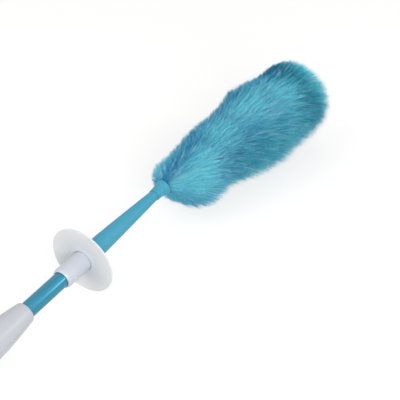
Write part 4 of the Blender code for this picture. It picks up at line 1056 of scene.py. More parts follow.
@dataclass
class Barrel:
    """The extension tube, the collar and the guard disc."""

    axis: DusterAxis
    tube_rear: float = -0.1545
    tube_front: float = -0.0143
    tube_radius: float = 0.011
    tube_wall: float = 0.0008
    collar_length: float = 0.044
    collar_radius: float = 0.0143
    lip_length: float = 0.004
    lip_wall: float = 0.0011
    bevel: float = 0.0018
    bead: float = 0.0006
    bead_length: float = 0.0012
    nose: float = 0.0007
    web: float = 0.014
    spigot_radius: float = 0.012
    bush_bore: float = 0.0063
    guard_radius: float = 0.048
    guard_thickness: float = 0.002
    guard_dish: float = 0.0011
    guard_rings: Span = (0.024, 0.044)
    painted_shade_power: float = 0.55
    ring_radius: float = 0.0187
    ring_height: float = 0.0012
    ring_crest: float = 0.0022
    segments: int = 96

    def tube(self, wardrobe: Wardrobe) -> None:
        """Build the thin-walled tube.

        Args:
            wardrobe: Dresses the piece.
        """
        inner = self.tube_radius - self.tube_wall
        corners = [
            (self.tube_rear, inner, 0.0),
            (self.tube_rear, self.tube_radius, 0.0002),
            (self.tube_front, self.tube_radius, 0.0002),
            (self.tube_front, inner, 0.0),
        ]
        mesh = lathe(self.axis, rounded(corners), self.segments).mesh("tube_skin")
        wardrobe.dress("tube_skin", mesh, TUBE_BLUE, Body.HANDLE, ("extension_tube",))

    def collar(self, wardrobe: Wardrobe) -> None:
        """Build the collar with its bevelled lip, its spigot and the bead that holds the guard.

        Args:
            wardrobe: Dresses the piece.
        """
        bore = self.tube_radius + GAP
        lip = -self.collar_length + self.lip_length
        snap = self.guard_thickness + GAP
        tip = snap + self.bead_length + self.nose
        corners = [
            (-self.collar_length, bore, 0.0002),
            (-self.collar_length, bore + self.lip_wall, 0.0004),
            (lip - self.bevel, self.collar_radius - 0.0005, 0.0006),
            (lip - 0.0003, self.collar_radius - 0.0004, 0.0002),
            (lip, self.collar_radius, 0.0002),
            (-GAP, self.collar_radius, 0.0006),
            (-GAP, self.spigot_radius, 0.0),
            (snap, self.spigot_radius, 0.0),
            (snap, self.spigot_radius + self.bead, 0.0002),
            (snap + self.bead_length, self.spigot_radius, 0.0003),
            (tip, self.spigot_radius - self.nose, 0.0),
            (tip, self.bush_bore, 0.0),
            (-self.web, self.bush_bore, 0.0),
            (-self.web, bore, 0.0),
        ]
        mesh = lathe(self.axis, rounded(corners), self.segments).mesh("collar_skin", 28.0)
        wardrobe.dress("collar_skin", mesh, COLLAR_WHITE, Body.HANDLE, ("collar",))

    def guard(self, wardrobe: Wardrobe) -> None:
        """Build the guard disc with the raised ring round the collar.

        Beyond the ring, at a share s of the way to the rim, both faces lie dish s^2 further back.
        The tint, from painted shade at the collar to the guard's own colour at the rim, grows with a power of
        the share of the way from the collar to the rim.

        Args:
            wardrobe: Dresses the piece.
        """
        bore = self.spigot_radius + GAP
        seat = self.collar_radius + GAP
        flat = self.ring_radius + self.ring_height
        rings = np.linspace(*self.guard_rings, 6)
        corners = [
            (0.0, bore, 0.0),
            (0.0, seat, 0.0),
            (-self.ring_height, seat, 0.0003),
            (-self.ring_height, self.ring_radius - self.ring_crest, 0.0013),
            (0.0, flat, 0.0022),
            *[(0.0, radius, 0.0) for radius in rings],
            (0.0, self.guard_radius, 0.0008),
            (self.guard_thickness, self.guard_radius, 0.0008),
            *[(self.guard_thickness, radius, 0.0) for radius in rings[::-1]],
            (self.guard_thickness, bore, 0.0),
        ]
        profile = rounded(corners, 7)
        columns = 2 * self.segments
        profile[:, 0] -= self.guard_dish * ramp(profile[:, 1], flat, self.guard_radius) ** 2
        skin = lathe(self.axis, profile, columns)
        # Painted shade round the collar, fading towards the rim.
        tint = ramp(profile[:, 1], seat, self.guard_radius) ** self.painted_shade_power
        mesh = with_values(skin.mesh("guard_skin"), "share", np.repeat(tint, columns))
        wardrobe.dress("guard_skin", mesh, GUARD_WHITE, Body.HANDLE, ("guard_disc",))

    def build(self, wardrobe: Wardrobe) -> None:
        """Build the tube, the collar and the guard.

        Args:
            wardrobe: Dresses the pieces.
        """
        self.tube(wardrobe)
        self.collar(wardrobe)
        self.guard(wardrobe)


@dataclass
class Neck:
    """The head's tapered neck and its trumpet-shaped ferrule."""

    axis: DusterAxis
    rear: float = 0.0026
    front: float = 0.158
    rear_radius: float = 0.0139
    front_radius: float = 0.0073
    bulge: float = 0.0004
    wall: float = 0.0016
    skirt_wall: float = 0.0008
    skirt: float = 0.0066
    socket: float = 0.128
    core_bore: float = 0.0043
    ferrule_rear: float = 0.1583
    ferrule_length: float = 0.0217
    ferrule_rear_radius: float = 0.0083
    ferrule_mouth_radius: float = 0.0120
    ferrule_wall: float = 0.0011
    ferrule_web: float = 0.0047
    trumpet_power: float = 2.4
    hollow_from: float = 0.34
    cup_radius: float = 0.0066
    segments: int = 80

    def radius(self, x: np.ndarray) -> np.ndarray:
        """Outer radius: a straight taper plus a bulge times the sine of half a turn.

        Args:
            x: Places along the axis.

        Returns:
            The radii.
        """
        share = (x - self.rear) / (self.front - self.rear)
        taper = self.rear_radius + (self.front_radius - self.rear_radius) * share
        return taper + self.bulge * np.sin(math.pi * share)

    def neck(self, wardrobe: Wardrobe) -> None:
        """Build the hollow neck.

        Args:
            wardrobe: Dresses the piece.
        """
        edge = 0.0005
        x = np.linspace(self.rear + edge, self.front - edge, 40)
        outer = np.column_stack([x, self.radius(x)])
        ends = np.array([self.socket, self.skirt, self.rear, self.front])
        at_socket, at_skirt, at_rear, at_front = self.radius(ends)
        inner = [
            (self.front, at_front - edge),
            (self.front, self.core_bore),
            (self.socket, self.core_bore),
            (self.socket - 0.004, at_socket - self.wall),
            (self.skirt, at_skirt - self.wall),
            (self.skirt, at_skirt - self.skirt_wall),
            (self.rear, at_rear - self.skirt_wall),
            (self.rear, at_rear - edge),
        ]
        mesh = lathe(self.axis, np.vstack([outer, inner]), self.segments).mesh("neck_skin")
        wardrobe.dress("neck_skin", mesh, NECK_BLUE, Body.HEAD, ("neck",))

    def ferrule(self, wardrobe: Wardrobe) -> None:
        """Build the ferrule, whose radius grows with a power of the share of its length.

        Args:
            wardrobe: Dresses the piece.
        """
        edge = 0.0006
        share = np.linspace(0.04, 1.0, 24)
        rise = self.ferrule_mouth_radius - self.ferrule_rear_radius
        outer = np.column_stack(
            [
                self.ferrule_rear + self.ferrule_length * share,
                self.ferrule_rear_radius + rise * share**self.trumpet_power,
            ]
        )
        back = share[share > self.hollow_from][::-1]
        hollow = np.column_stack(
            [
                self.ferrule_rear + self.ferrule_length * back,
                self.ferrule_rear_radius + rise * back**self.trumpet_power - self.ferrule_wall,
            ]
        )
        cup = self.ferrule_rear + self.ferrule_web
        ends = [
            (cup, self.cup_radius),
            (cup, self.core_bore),
            (self.ferrule_rear, self.core_bore),
            (self.ferrule_rear, self.ferrule_rear_radius - edge),
            (self.ferrule_rear + edge / 3, self.ferrule_rear_radius - edge / 4),
        ]
        hollow[0] += (-edge / 4, 0.0)
        outer[-1] += (0.0, -edge / 6)
        mesh = lathe(self.axis, np.vstack([outer, hollow, ends]), self.segments).mesh("ferrule_skin")
        wardrobe.dress("ferrule_skin", mesh, FERRULE_BLUE, Body.HEAD, ("ferrule",))

    def build(self, wardrobe: Wardrobe) -> None:
        """Build the neck and the ferrule."""
        self.neck(wardrobe)
        self.ferrule(wardrobe)


@dataclass(frozen=True)
class Palette:
    """Colours of the strands, and where on the head they go.

    Places along the axis are pairs, from where a change begins to where it is complete.
    """

    deep: Colour = (0.010, 0.250, 0.550)
    light: Colour = (0.250, 0.870, 1.000)
    teal_deep: Colour = (0.005, 0.230, 0.390)
    teal_light: Colour = (0.110, 0.840, 0.940)
    glint: Colour = (0.62, 0.94, 1.00)
    root: Colour = (0.02, 0.16, 0.26)
    near: Span = (0.28, 0.22)
    far: Span = (0.33, 0.41)
    end: Span = (0.432, 0.462)
    fringe: Span = (0.474, 0.486)
    # Angle of one light band, the one turned to the camera: dye and painted light.
    dye_and_light_band_angle: float = 2.28
    near_turn: float = 0.4
    far_turn: float = 0.14
    band_wander: float = 0.4
    band_wander_rate: float = 23.0
    band_power: float = 1.5
    patch_place: float = 0.422
    patch_pitch: float = 0.066
    patch_lean: float = 0.8
    base_tone: float = 0.27
    band_tone: float = 0.60
    patch_tone: float = 0.20
    near_tone: float = 0.06
    # The side below near the handle is painted lighter: painted light.
    painted_underside_lift: float = 0.34
    painted_underside_angle: float = 3.4
    lock_chance: float = 0.50
    strand_chance: float = 0.34
    # Darker roots and lighter tips: painted shade deep in the pile.
    length_tone: float = 0.30
    level_share: float = 0.7
    tip: Span = (0.75, 1.0)
    # Painted shade towards the end of the head, deepest on its upper side; the fringe's tips are spared it.
    painted_end_shade: float = 0.34
    painted_end_shade_swing: float = 0.12
    painted_end_shade_angle: float = 1.6
    fringe_relief: float = 0.9
    fringe_tone: float = 0.14
    teal_angle: float = 3.75
    teal_facing: Span = (0.45, 0.80)
    teal_start: Span = (0.26, 0.31)
    teal_tone: float = 0.22
    teal_share: float = 0.85
    teal_side_share: float = 0.75
    glint_chance: float = 0.06
    glint_from: float = 0.4
    glint_share: float = 0.85

    def bands(self, x: np.ndarray, angle: np.ndarray) -> np.ndarray:
        """Work out the part of the tone that varies over the head.

        Three light bands run along it, (1/2 + 1/2 cos 3 turn)^power, and turn a little near
        and far; they are dye and painted light, one of them lying on the side turned to the camera.
        Patches, a cosine along the axis, make them stronger and weaker. The side below, near the
        handle, is lighter: painted light.

        Args:
            x: Places along the axis.
            angle: Angles about it.

        Returns:
            The tones.
        """
        near = ramp(x, *self.near)
        turn = angle - self.dye_and_light_band_angle - self.near_turn * near - self.far_turn * ramp(x, *self.far)
        band = 0.5 + 0.5 * np.cos(3 * turn + self.band_wander * np.sin(self.band_wander_rate * x))
        along = TURN * (x - self.patch_place) / self.patch_pitch
        patch = np.cos(along + self.patch_lean * np.sin(2 * angle))
        # Painted light: the side below near the handle is lighter.
        below = np.clip(np.cos(angle - self.painted_underside_angle), 0.0, 1.0)
        strength = self.band_tone + self.patch_tone * patch + self.near_tone * near
        return self.base_tone + strength * band**self.band_power + self.painted_underside_lift * near * below

    def colours(
        self, dice: np.random.Generator, share: np.ndarray, x: np.ndarray, angle: np.ndarray, lock: np.ndarray
    ) -> np.ndarray:
        """Work out each strand's colour at each of its stations.

        A tone from 0 to 1 mixes a deep and a light colour. It is the bands' tone, a share of
        chance for the lock and for the strand, and a rise from root to tip, painted shade deep in
        the pile. Towards the end of the head the tone falls, a painted shade that is deepest on
        the upper side, but for the light tips of its fringe. The colours are blue, teal near the
        end and on one side. A few locks are glints, painted highlights, from their middle on.

        Args:
            dice: The random numbers.
            share: The stations, as shares of a strand's length.
            x: Each strand's place along the axis at its tip.
            angle: Its angle there.
            lock: The number of its lock, counted from 0 in order.

        Returns:
            An array (strands, stations, 4) of colours.
        """
        locks = int(lock[-1]) + 1
        station = share[None, :]
        tone = self.bands(x, angle)
        tone = tone + self.lock_chance * (dice.random(locks)[lock] - 0.5)
        tone = tone + self.strand_chance * (dice.random(len(x)) - 0.5)
        # Painted shade deep in the pile: darker towards the roots.
        tone = tone[:, None] + self.length_tone * (station - self.level_share)
        end = ramp(x, *self.end)[:, None]
        fringe = ramp(x, *self.fringe)[:, None]
        side = ramp(np.cos(angle - self.teal_angle), *self.teal_facing)
        side = (side * ramp(x, *self.teal_start))[:, None]
        tip = ramp(station, *self.tip)
        # Painted shade over the end of the head, spared at the fringe's tips.
        dark = self.painted_end_shade + self.painted_end_shade_swing * np.cos(angle - self.painted_end_shade_angle)[:, None]
        tone = tone - dark * end * (1 - self.fringe_relief * fringe * tip)
        tone = tone + self.fringe_tone * fringe * tip + self.teal_tone * side * tip
        tone = np.clip(tone, 0.0, 1.0)[..., None]
        deep, light, teal_deep, teal_light, glint = (
            np.array(part) for part in (self.deep, self.light, self.teal_deep, self.teal_light, self.glint)
        )
        blue = deep + (light - deep) * tone
        teal = teal_deep + (teal_light - teal_deep) * tone
        mix = self.teal_share * np.maximum(end, self.teal_side_share * side)
        colour = blue + (teal - blue) * mix[..., None]
        # Glints: painted highlights on a few locks.
        bright = (dice.random(locks) < self.glint_chance)[lock][:, None, None]
        bright = bright * (station > self.glint_from)[..., None]
        colour = colour + bright * (glint - colour) * self.glint_share
        return np.concatenate([colour, np.ones((*colour.shape[:2], 1))], axis=2)


@dataclass
class FibreHead:
    """The fluffy head: fine strands in locks, rooted on a sleeve round the core."""

    axis: DusterAxis
    palette: Palette = Palette()
    sleeve_start: float = 0.1633
    sleeve_end: float = 0.4638
    sleeve_radius: float = 0.006
    core_bore: float = 0.0043
    places: tuple = (0.184, 0.200, 0.225, 0.280, 0.340, 0.383, 0.435, 0.476, 0.495, 0.504, 0.509)
    radii: tuple = (0.023, 0.037, 0.047, 0.050, 0.057, 0.066, 0.060, 0.058, 0.051, 0.032, 0.012)
    droop_places: tuple = (0.180, 0.220, 0.280, 0.330, 0.380, 0.450)
    droop_sizes: tuple = (0.0, 0.017, 0.018, 0.024, 0.028, 0.032)
    droop_left: float = -0.92
    droop_up: float = -0.392
    droop_full_radius: float = 0.045
    tuft_pitch: float = 0.024
    tuft_depth: float = 0.09
    tuft_rise: float = 0.72
    wave_pitch: float = 0.115
    wave_depth: float = 0.075
    wave_lean: float = 1.78
    wave_side: float = 0.65
    wave_phase: float = 0.06
    fullness: float = 1.14
    end_fullness: float = 0.06
    end_swell: Span = (0.470, 0.495)
    first_tip: float = 0.184
    last_tip: float = 0.5085
    first_foot: float = 0.1815
    last_foot: float = 0.462
    crown_share: float = 0.045
    crown_depth: float = 0.014
    crowding: float = 1.8
    crowded: Span = (0.465, 0.485)
    droop_lean: float = 0.32
    droop_lean_radius: float = 0.06
    sweep: float = 0.50
    locks: int = 19600
    strands_per_lock: int = 3
    lock_spread: float = 0.0006
    lock_length_spread: float = 1.6
    least_girth: float = 0.015
    lock_depth: float = 0.12
    strand_depth: float = 0.06
    lock_lean: float = 0.16
    strand_lean: float = 0.05
    lock_foot: float = 0.007
    strand_foot: float = 0.0015
    foot_margins: Span = (0.010, 0.012)
    free_end: float = 0.02
    least_reaches: Span = (0.0005, 0.003)
    crimp: float = 0.02
    crimp_rate: float = 6.0
    crimp_scatter: float = 0.7
    root_sink: float = 0.0006
    strand_radius: float = 0.00024
    thinning: float = 0.55
    rise_bend: float = 0.08
    forward_power: float = 1.06
    stations: tuple = (0.0, 0.25, 0.48, 0.68, 0.85, 1.0)
    pieces: int = 10
    floor_margin: float = 0.002
    seed: int = 20

    def reach(self, x: np.ndarray, angle: np.ndarray) -> np.ndarray:
        """Distance from the axis to the head's surface.

        The section is a circle of radius R whose centre lies d off the axis. Towards an angle
        with cosine c to that offset, the distance is d c + sqrt(R^2 - d^2 (1 - c^2)). This is
        multiplied by a fullness that grows at the end, less a share for the gaps between
        tufts, a sawtooth along the axis whose phase wanders round the head, and less a share
        for a broad wave, a sine along the axis whose phase leans round the head.

        Args:
            x: Places along the axis.
            angle: Angles about it.

        Returns:
            The distances.
        """
        radius = np.interp(x, self.places, self.radii)
        shift = np.interp(x, self.droop_places, self.droop_sizes)
        shift = shift * np.minimum(1.0, radius / self.droop_full_radius)
        towards = self.droop_left * np.cos(angle) + self.droop_up * np.sin(angle)
        inside = np.maximum(1e-8, radius**2 - shift**2 * np.maximum(0.0, 1 - towards**2))
        plain = shift * towards + np.sqrt(inside)
        wander = 0.9 * np.sin(3 * angle + 20 * x) + 0.7 * np.sin(5 * angle - 13 * x + 1.0)
        saw = np.mod(x / self.tuft_pitch + wander, 1.0)
        fall = ramp(saw, self.tuft_rise, 1.0)
        rise = saw / self.tuft_rise
        tuft = np.where(saw < self.tuft_rise, rise, 1 - fall * fall * (3 - 2 * fall))
        lean = self.wave_lean * np.cos(angle - self.wave_side) - self.wave_phase
        wave = 0.5 + 0.5 * np.sin(TURN * x / self.wave_pitch - lean)
        swell = self.fullness + self.end_fullness * ramp(x, *self.end_swell)
        return plain * (swell - self.tuft_depth * (1 - tuft) - self.wave_depth * (1 - wave))

    def lock_tips(self, dice: np.random.Generator) -> tuple[np.ndarray, np.ndarray]:
        """Scatter lock tips evenly over the head's surface.

        The chance of a place along the axis is its radius times the length of the outline there,
        and more near the end, where no later locks lie over them. The locks lean towards the
        side that the head droops to.

        Args:
            dice: The random numbers.

        Returns:
            Places along the axis and angles about it.
        """
        x = np.linspace(self.first_tip, self.last_tip, 400)
        radius = np.interp(x, self.places, self.radii)
        outline = np.hypot(np.gradient(x), np.gradient(radius))
        crowding = 1.0 + self.crowding * ramp(x, *self.crowded)
        share = np.cumsum(radius * outline * crowding)
        share = (share - share[0]) / (share[-1] - share[0])
        place = np.interp(dice.random(self.locks), share, x)
        turn = dice.random(self.locks) * TURN
        lean = self.droop_lean * np.interp(place, self.places, self.radii) / self.droop_lean_radius
        facing = math.atan2(self.droop_up, self.droop_left)
        return place, turn - lean * np.sin(turn - facing)

    def strands(self) -> tuple[np.ndarray, np.ndarray, np.ndarray]:
        """Grow every strand's line.

        At a share s of its length a strand is at x = foot + (tip - foot) s^f and at radius
        r = root + (reach - root) (s + b s (1 - s)), so that it rises first and then sweeps
        forward. Strands of a lock share their foot, their length and their lean. The crown's
        locks end inside the outline of the head's front, evenly over its area.

        Returns:
            Lines (strands, stations, 3), colours (strands, stations, 4) and feet (strands).
        """
        dice = np.random.default_rng(self.seed)
        lock_x, lock_angle = self.lock_tips(dice)
        lock = np.repeat(np.arange(self.locks), self.strands_per_lock)
        count = len(lock)
        crown = dice.random(self.locks) < self.crown_share
        crown_x = self.last_tip - self.crown_depth * dice.random(self.locks) ** 2
        lock_x = np.where(crown, crown_x, lock_x)
        inset = np.where(crown, np.sqrt(dice.random(self.locks)), 1.0)
        deep_lock = self.lock_depth * dice.random(self.locks) ** 2.0
        lean = self.lock_lean * dice.standard_normal(self.locks)
        lock_foot = self.lock_foot * dice.standard_normal(self.locks)
        length_spread = self.lock_length_spread * self.lock_spread
        tip_x = lock_x[lock] + length_spread * dice.standard_normal(count)
        tip_x = np.clip(tip_x, self.first_tip - 0.001, self.last_tip)
        across = self.lock_spread / np.maximum(self.least_girth, np.interp(tip_x, self.places, self.radii))
        tip_angle = lock_angle[lock] + across * dice.standard_normal(count)
        length = 1.0 - deep_lock[lock] - self.strand_depth * dice.random(count) ** 2
        reach = self.reach(tip_x, tip_angle) * length * inset[lock]
        free, rooted = self.least_reaches
        past = tip_x > self.last_foot + self.free_end
        least = np.where(past, free, self.sleeve_radius + rooted)
        reach = np.maximum(reach, least)
        foot = tip_x - self.sweep * reach + lock_foot[lock]
        foot = foot + self.strand_foot * dice.standard_normal(count)
        low = self.first_foot + self.foot_margins[0] * dice.random(count)
        high = self.last_foot - self.foot_margins[1] * dice.random(count)
        foot = np.clip(foot, low, high)
        foot_angle = tip_angle + lean[lock] + self.strand_lean * dice.standard_normal(count)
        s = np.array(self.stations)[None, :]
        root = self.sleeve_radius - self.root_sink
        x = foot[:, None] + (tip_x - foot)[:, None] * s**self.forward_power
        radius = root + (reach - root)[:, None] * (s + self.rise_bend * s * (1 - s))
        phase = TURN * dice.random(self.locks)[lock] + self.crimp_scatter * dice.random(count)
        crimp = self.crimp * np.sin(self.crimp_rate * s + phase[:, None]) * s
        angle = foot_angle[:, None] + (tip_angle - foot_angle)[:, None] * s + crimp
        lines = self.axis.points(x, radius, angle)
        lines[..., 2] = np.maximum(lines[..., 2], self.floor_margin)
        colours = self.palette.colours(dice, s[0], tip_x, tip_angle, lock)
        return lines, colours, foot

    def strand_skin(self, lines: np.ndarray) -> Skin:
        """Wrap each line in a three-sided tube that tapers to a point and is closed at its root.

        Corner k at a station is line + radius (cos a sideways + sin a across), a = 2 pi k / 3.

        Args:
            lines: Strand lines (strands, stations, 3).

        Returns:
            The surface of all of them.
        """
        count, stations = lines.shape[:2]
        heading = np.gradient(lines, axis=1)
        heading /= np.linalg.norm(heading, axis=2, keepdims=True)
        outward = lines - self.axis.origin
        outward = outward - (outward @ self.axis.along)[..., None] * self.axis.along
        sideways = np.cross(self.axis.along, outward)
        sideways -= np.einsum("ijk,ijk->ij", sideways, heading)[..., None] * heading
        sideways /= np.linalg.norm(sideways, axis=2, keepdims=True)
        across = np.cross(heading, sideways)
        taper = 1.0 - self.thinning * np.array(self.stations[:-1])
        turn = TURN * np.arange(3) / 3
        ring = (
            np.cos(turn)[None, None, :, None] * sideways[:, :-1, None, :]
            + np.sin(turn)[None, None, :, None] * across[:, :-1, None, :]
        )
        body = lines[:, :-1, None, :] + self.strand_radius * taper[None, :, None, None] * ring
        per = 3 * (stations - 1) + 1
        points = np.concatenate([body.reshape(count, -1, 3), lines[:, -1:, :]], axis=1)
        k = np.arange(3)
        after = (k + 1) % 3
        rows = 3 * np.arange(stations - 2)[:, None]
        quads = np.stack(
            np.broadcast_arrays(rows + k, rows + after, rows + 3 + after, rows + 3 + k), axis=-1
        ).reshape(-1, 4)
        last = 3 * (stations - 2)
        tips = np.column_stack([last + k, last + after, np.full(3, per - 1)])
        pattern = np.concatenate([quads.ravel(), tips.ravel(), [2, 1, 0]])
        sizes = np.concatenate([np.full(len(quads), 4), np.full(4, 3)])
        corners = (np.arange(count)[:, None] * per + pattern[None, :]).ravel()
        return Skin(points.reshape(-1, 3), corners, np.tile(sizes, count))

    def sleeve(self, wardrobe: Wardrobe) -> None:
        """Build the sleeve round the core that the strands are rooted in.

        Args:
            wardrobe: Dresses the piece.
        """
        corners = [
            (self.sleeve_start, self.core_bore, 0.0),
            (self.sleeve_start, self.sleeve_radius, 0.0005),
            (self.sleeve_end, self.sleeve_radius, 0.0005),
            (self.sleeve_end, self.core_bore, 0.0),
        ]
        skin = lathe(self.axis, rounded(corners), 32)
        colour = np.tile([*self.palette.root, 1.0], (len(skin.points), 1))
        mesh = with_values(skin.mesh("fibre_sleeve"), "strand_colour", colour)
        wardrobe.dress("fibre_sleeve", mesh, FIBRE_BLUE, Body.HEAD, ("pile_1",))

    def build(self, wardrobe: Wardrobe) -> None:
        """Build the sleeve and the strands, in slices by the place of their feet.

        Args:
            wardrobe: Dresses the pieces.
        """
        self.sleeve(wardrobe)
        lines, colours, foot = self.strands()
        order = np.argsort(foot, kind="stable")
        slices = np.array_split(order, self.pieces)
        for number, chosen in enumerate(slices, start=1):
            skin = self.strand_skin(lines[chosen])
            tone = np.repeat(colours[chosen][:, :-1], 3, axis=1)
            tone = np.concatenate([tone, colours[chosen][:, -1:]], axis=1).reshape(-1, 4)
            name = f"fibres_{number}"
            mesh = with_values(skin.mesh(name, 180.0), "strand_colour", tone)
            node = f"pile_{(number - 1) * 4 // self.pieces + 1}"
            wardrobe.dress(name, mesh, FIBRE_BLUE, Body.HEAD, (node,))


@dataclass
class Cells:
    """The four cells and their conical contact springs."""

    axis: DusterAxis
    offset: float = 0.0076
    cell_radius: float = 0.00725
    cell_length: float = 0.0505
    nub_radius: float = 0.00275
    nub_length: float = 0.001
    rear_face: float = -0.2862
    front_face: float = -0.2297
    strip: float = 0.001
    spring_length: float = 0.0030
    spring_radii: tuple[float, float] = (0.0033, 0.0024)
    spring_turns: float = 2.5
    wire_radius: float = 0.00035
    wire_sides: int = 8
    segments: int = 48

    def cell(self, number: int, left: float, up: float, forward: bool, wardrobe: Wardrobe) -> None:
        """Build one cell with its crimped shoulder and nub.

        Args:
            number: The cell's number.
            left: Distance of its axis to the left of the duster's.
            up: Distance above it.
            forward: Whether its nub points to the head.
            wardrobe: Dresses the piece.
        """
        shoulder = self.cell_length - self.nub_length
        radius = self.cell_radius
        profile = np.array(
            [
                (0.0, 0.0),
                (0.0, radius - 0.0012),
                (0.0003, radius - 0.0004),
                (0.0010, radius),
                (0.0012, radius),
                (shoulder - 0.0012, radius),
                (shoulder - 0.0006, radius),
                (shoulder - 0.0001, radius - 0.0004),
                (shoulder, radius - 0.0010),
                (shoulder - 0.0003, radius - 0.0014),
                (shoulder - 0.0003, self.nub_radius + 0.0004),
                (shoulder, self.nub_radius),
                (self.cell_length - 0.0002, self.nub_radius - 0.0001),
                (self.cell_length, self.nub_radius - 0.0004),
                (self.cell_length, 0.0),
            ]
        )
        share = profile[:, 0] / self.cell_length
        if forward:
            start, sign = self.front_face - self.strip - self.cell_length, 1.0
        else:
            start, sign = self.rear_face + self.strip + self.cell_length, -1.0
        profile[:, 0] = start + sign * profile[:, 0]
        skin = lathe(self.axis, profile, self.segments, shift=(left, up))
        values = np.concatenate([np.repeat(share[1:-1], self.segments), share[[0, -1]]])
        mesh = with_values(skin.mesh(f"cell_can_{number}"), "share", values)
        wardrobe.dress(f"cell_can_{number}", mesh, CELL_FILM, Body.CARTRIDGE, (f"cell_{number}",))

    def spring(self, number: int, left: float, up: float, forward: bool, wardrobe: Wardrobe) -> None:
        """Build one conical spring.

        At a share s its line is at angle 2 pi turns s, at a radius falling evenly from the wide
        to the narrow end, and climbs evenly along the axis.

        Args:
            number: The spring's number.
            left: Distance of its axis to the left of the duster's.
            up: Distance above it.
            forward: Whether it stands on the front plate.
            wardrobe: Dresses the piece.
        """
        s = np.linspace(0.0, 1.0, 90)
        wide, narrow = self.spring_radii
        radius = wide + (narrow - wide) * s
        angle = TURN * self.spring_turns * s
        if forward:
            x = self.front_face - self.strip - self.wire_radius - self.spring_length * s
        else:
            x = self.rear_face + self.strip + self.wire_radius + self.spring_length * s
        sides = self.wire_sides
        turn = TURN * np.arange(sides)[None, :] / sides
        around = radius[:, None] + self.wire_radius * np.cos(turn)
        beside = x[:, None] + self.wire_radius * np.sin(turn)
        points = self.axis.points(beside, around, angle[:, None]).reshape(-1, 3)
        points = points + left * self.axis.left + up * self.axis.up
        i = np.arange(len(s) - 1)[:, None] * sides
        j = np.arange(sides)[None, :]
        after = (j + 1) % sides
        quads = np.stack(np.broadcast_arrays(i + j, i + after, i + sides + after, i + sides + j), axis=-1)
        last = (len(s) - 1) * sides
        corners = np.concatenate([quads.ravel(), np.arange(sides)[::-1], last + np.arange(sides)])
        sizes = np.concatenate([np.full(quads.size // 4, 4), [sides, sides]])
        mesh = Skin(points, corners, sizes).mesh(f"contact_spring_{number}")
        node = f"cell_spring_{number}"
        wardrobe.dress(f"contact_spring_{number}", mesh, STEEL, Body.CARTRIDGE, (node,))

    def build(self, wardrobe: Wardrobe) -> None:
        """Build the cells, alternately turned, and their springs.

        Args:
            wardrobe: Dresses the pieces.
        """
        sides = (-self.offset, self.offset)
        places = [(left, up) for left in sides for up in sides]
        for number, (left, up) in enumerate(places, start=1):
            forward = number in (1, 4)
            self.cell(number, left, up, forward, wardrobe)
            self.spring(number, left, up, not forward, wardrobe)


@dataclass
class InnerWorks:
    """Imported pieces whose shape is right: they keep it, with welded, smoothed faces."""

    wardrobe: Wardrobe
    crease: float = 32.0
    weld: float = 1e-6

    def finishes(self) -> dict[str, Finish]:
        """Return the finish of each packed material slot.

        Returns:
            The finishes by their slots' names.
        """
        known = [
            SHELL_WHITE, COLLAR_WHITE, GUARD_WHITE, NECK_BLUE, FERRULE_BLUE, BUTTON_BLUE, CORE_WHITE,
            NYLON, DARK_PLASTIC, LEAD_RED, LEAD_BLACK, TUBE_BLUE, STEEL, MOTOR_CAN, BRASS, CELL_FILM,
            BOARD_GREEN, FIBRE_BLUE,
        ]
        return {finish.slot: finish for finish in known}

    def smoothing(self) -> bpy.types.NodeTree:
        """Return a node group that welds loose triangles and smooths all but sharp edges.

        Returns:
            The node group.
        """
        group = bpy.data.node_groups.new("weld_and_smooth", "GeometryNodeTree")
        group.interface.new_socket("Geometry", in_out="INPUT", socket_type="NodeSocketGeometry")
        group.interface.new_socket("Geometry", in_out="OUTPUT", socket_type="NodeSocketGeometry")
        entry = group.nodes.new("NodeGroupInput")
        out = group.nodes.new("NodeGroupOutput")
        weld = group.nodes.new("GeometryNodeMergeByDistance")
        weld.inputs["Distance"].default_value = self.weld
        faces = group.nodes.new("GeometryNodeSetShadeSmooth")
        faces.domain = "FACE"
        edges = group.nodes.new("GeometryNodeSetShadeSmooth")
        edges.domain = "EDGE"
        edges.inputs["Shade Smooth"].default_value = False
        angle = group.nodes.new("GeometryNodeInputMeshEdgeAngle")
        sharp = group.nodes.new("FunctionNodeCompare")
        sharp.operation = "GREATER_THAN"
        sharp.inputs["B"].default_value = math.radians(self.crease)
        group.links.new(entry.outputs["Geometry"], weld.inputs["Geometry"])
        group.links.new(weld.outputs["Geometry"], faces.inputs["Geometry"])
        group.links.new(faces.outputs["Geometry"], edges.inputs["Geometry"])
        group.links.new(angle.outputs["Unsigned Angle"], sharp.inputs["A"])
        group.links.new(sharp.outputs["Result"], edges.inputs["Selection"])
        group.links.new(edges.outputs["Geometry"], out.inputs["Geometry"])
        return group

    def build(self, packed: dict) -> None:
        """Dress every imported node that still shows.
        """
        slots = {part["node"]: part["material_slot"] for part in packed["record"]["subparts"]}
        finishes = self.finishes()
        group = self.smoothing()
        for name, node in packed["nodes"].items():
            finish = finishes[slots[name]]
            node.data.materials.clear()
            node.data.materials.append(self.wardrobe.material(finish))
            if node.hide_render:
                continue
            step = node.modifiers.new("weld_and_smooth", "NODES")
            step.node_group = group
            LOG.info("%s keeps its solid, in %s", name, finish.name)


@dataclass(frozen=True)
class Lamp:
    """A square, soft, white lamp: its place, what it faces, its side in metres and its watts."""

    name: str
    place: Point
    aim: Point
    size: float
    power: float

    def hang(self) -> None:
        """Put the lamp into the scene."""
        data = bpy.data.lights.new(self.name, "AREA")
        data.size = self.size
        data.energy = self.power
        lamp = bpy.data.objects.new(self.name, data)
        back = Vector(self.place) - Vector(self.aim)
        lamp.location = self.place
        lamp.rotation_euler = back.to_track_quat("Z", "Y").to_euler()
        bpy.context.scene.collection.objects.link(lamp)


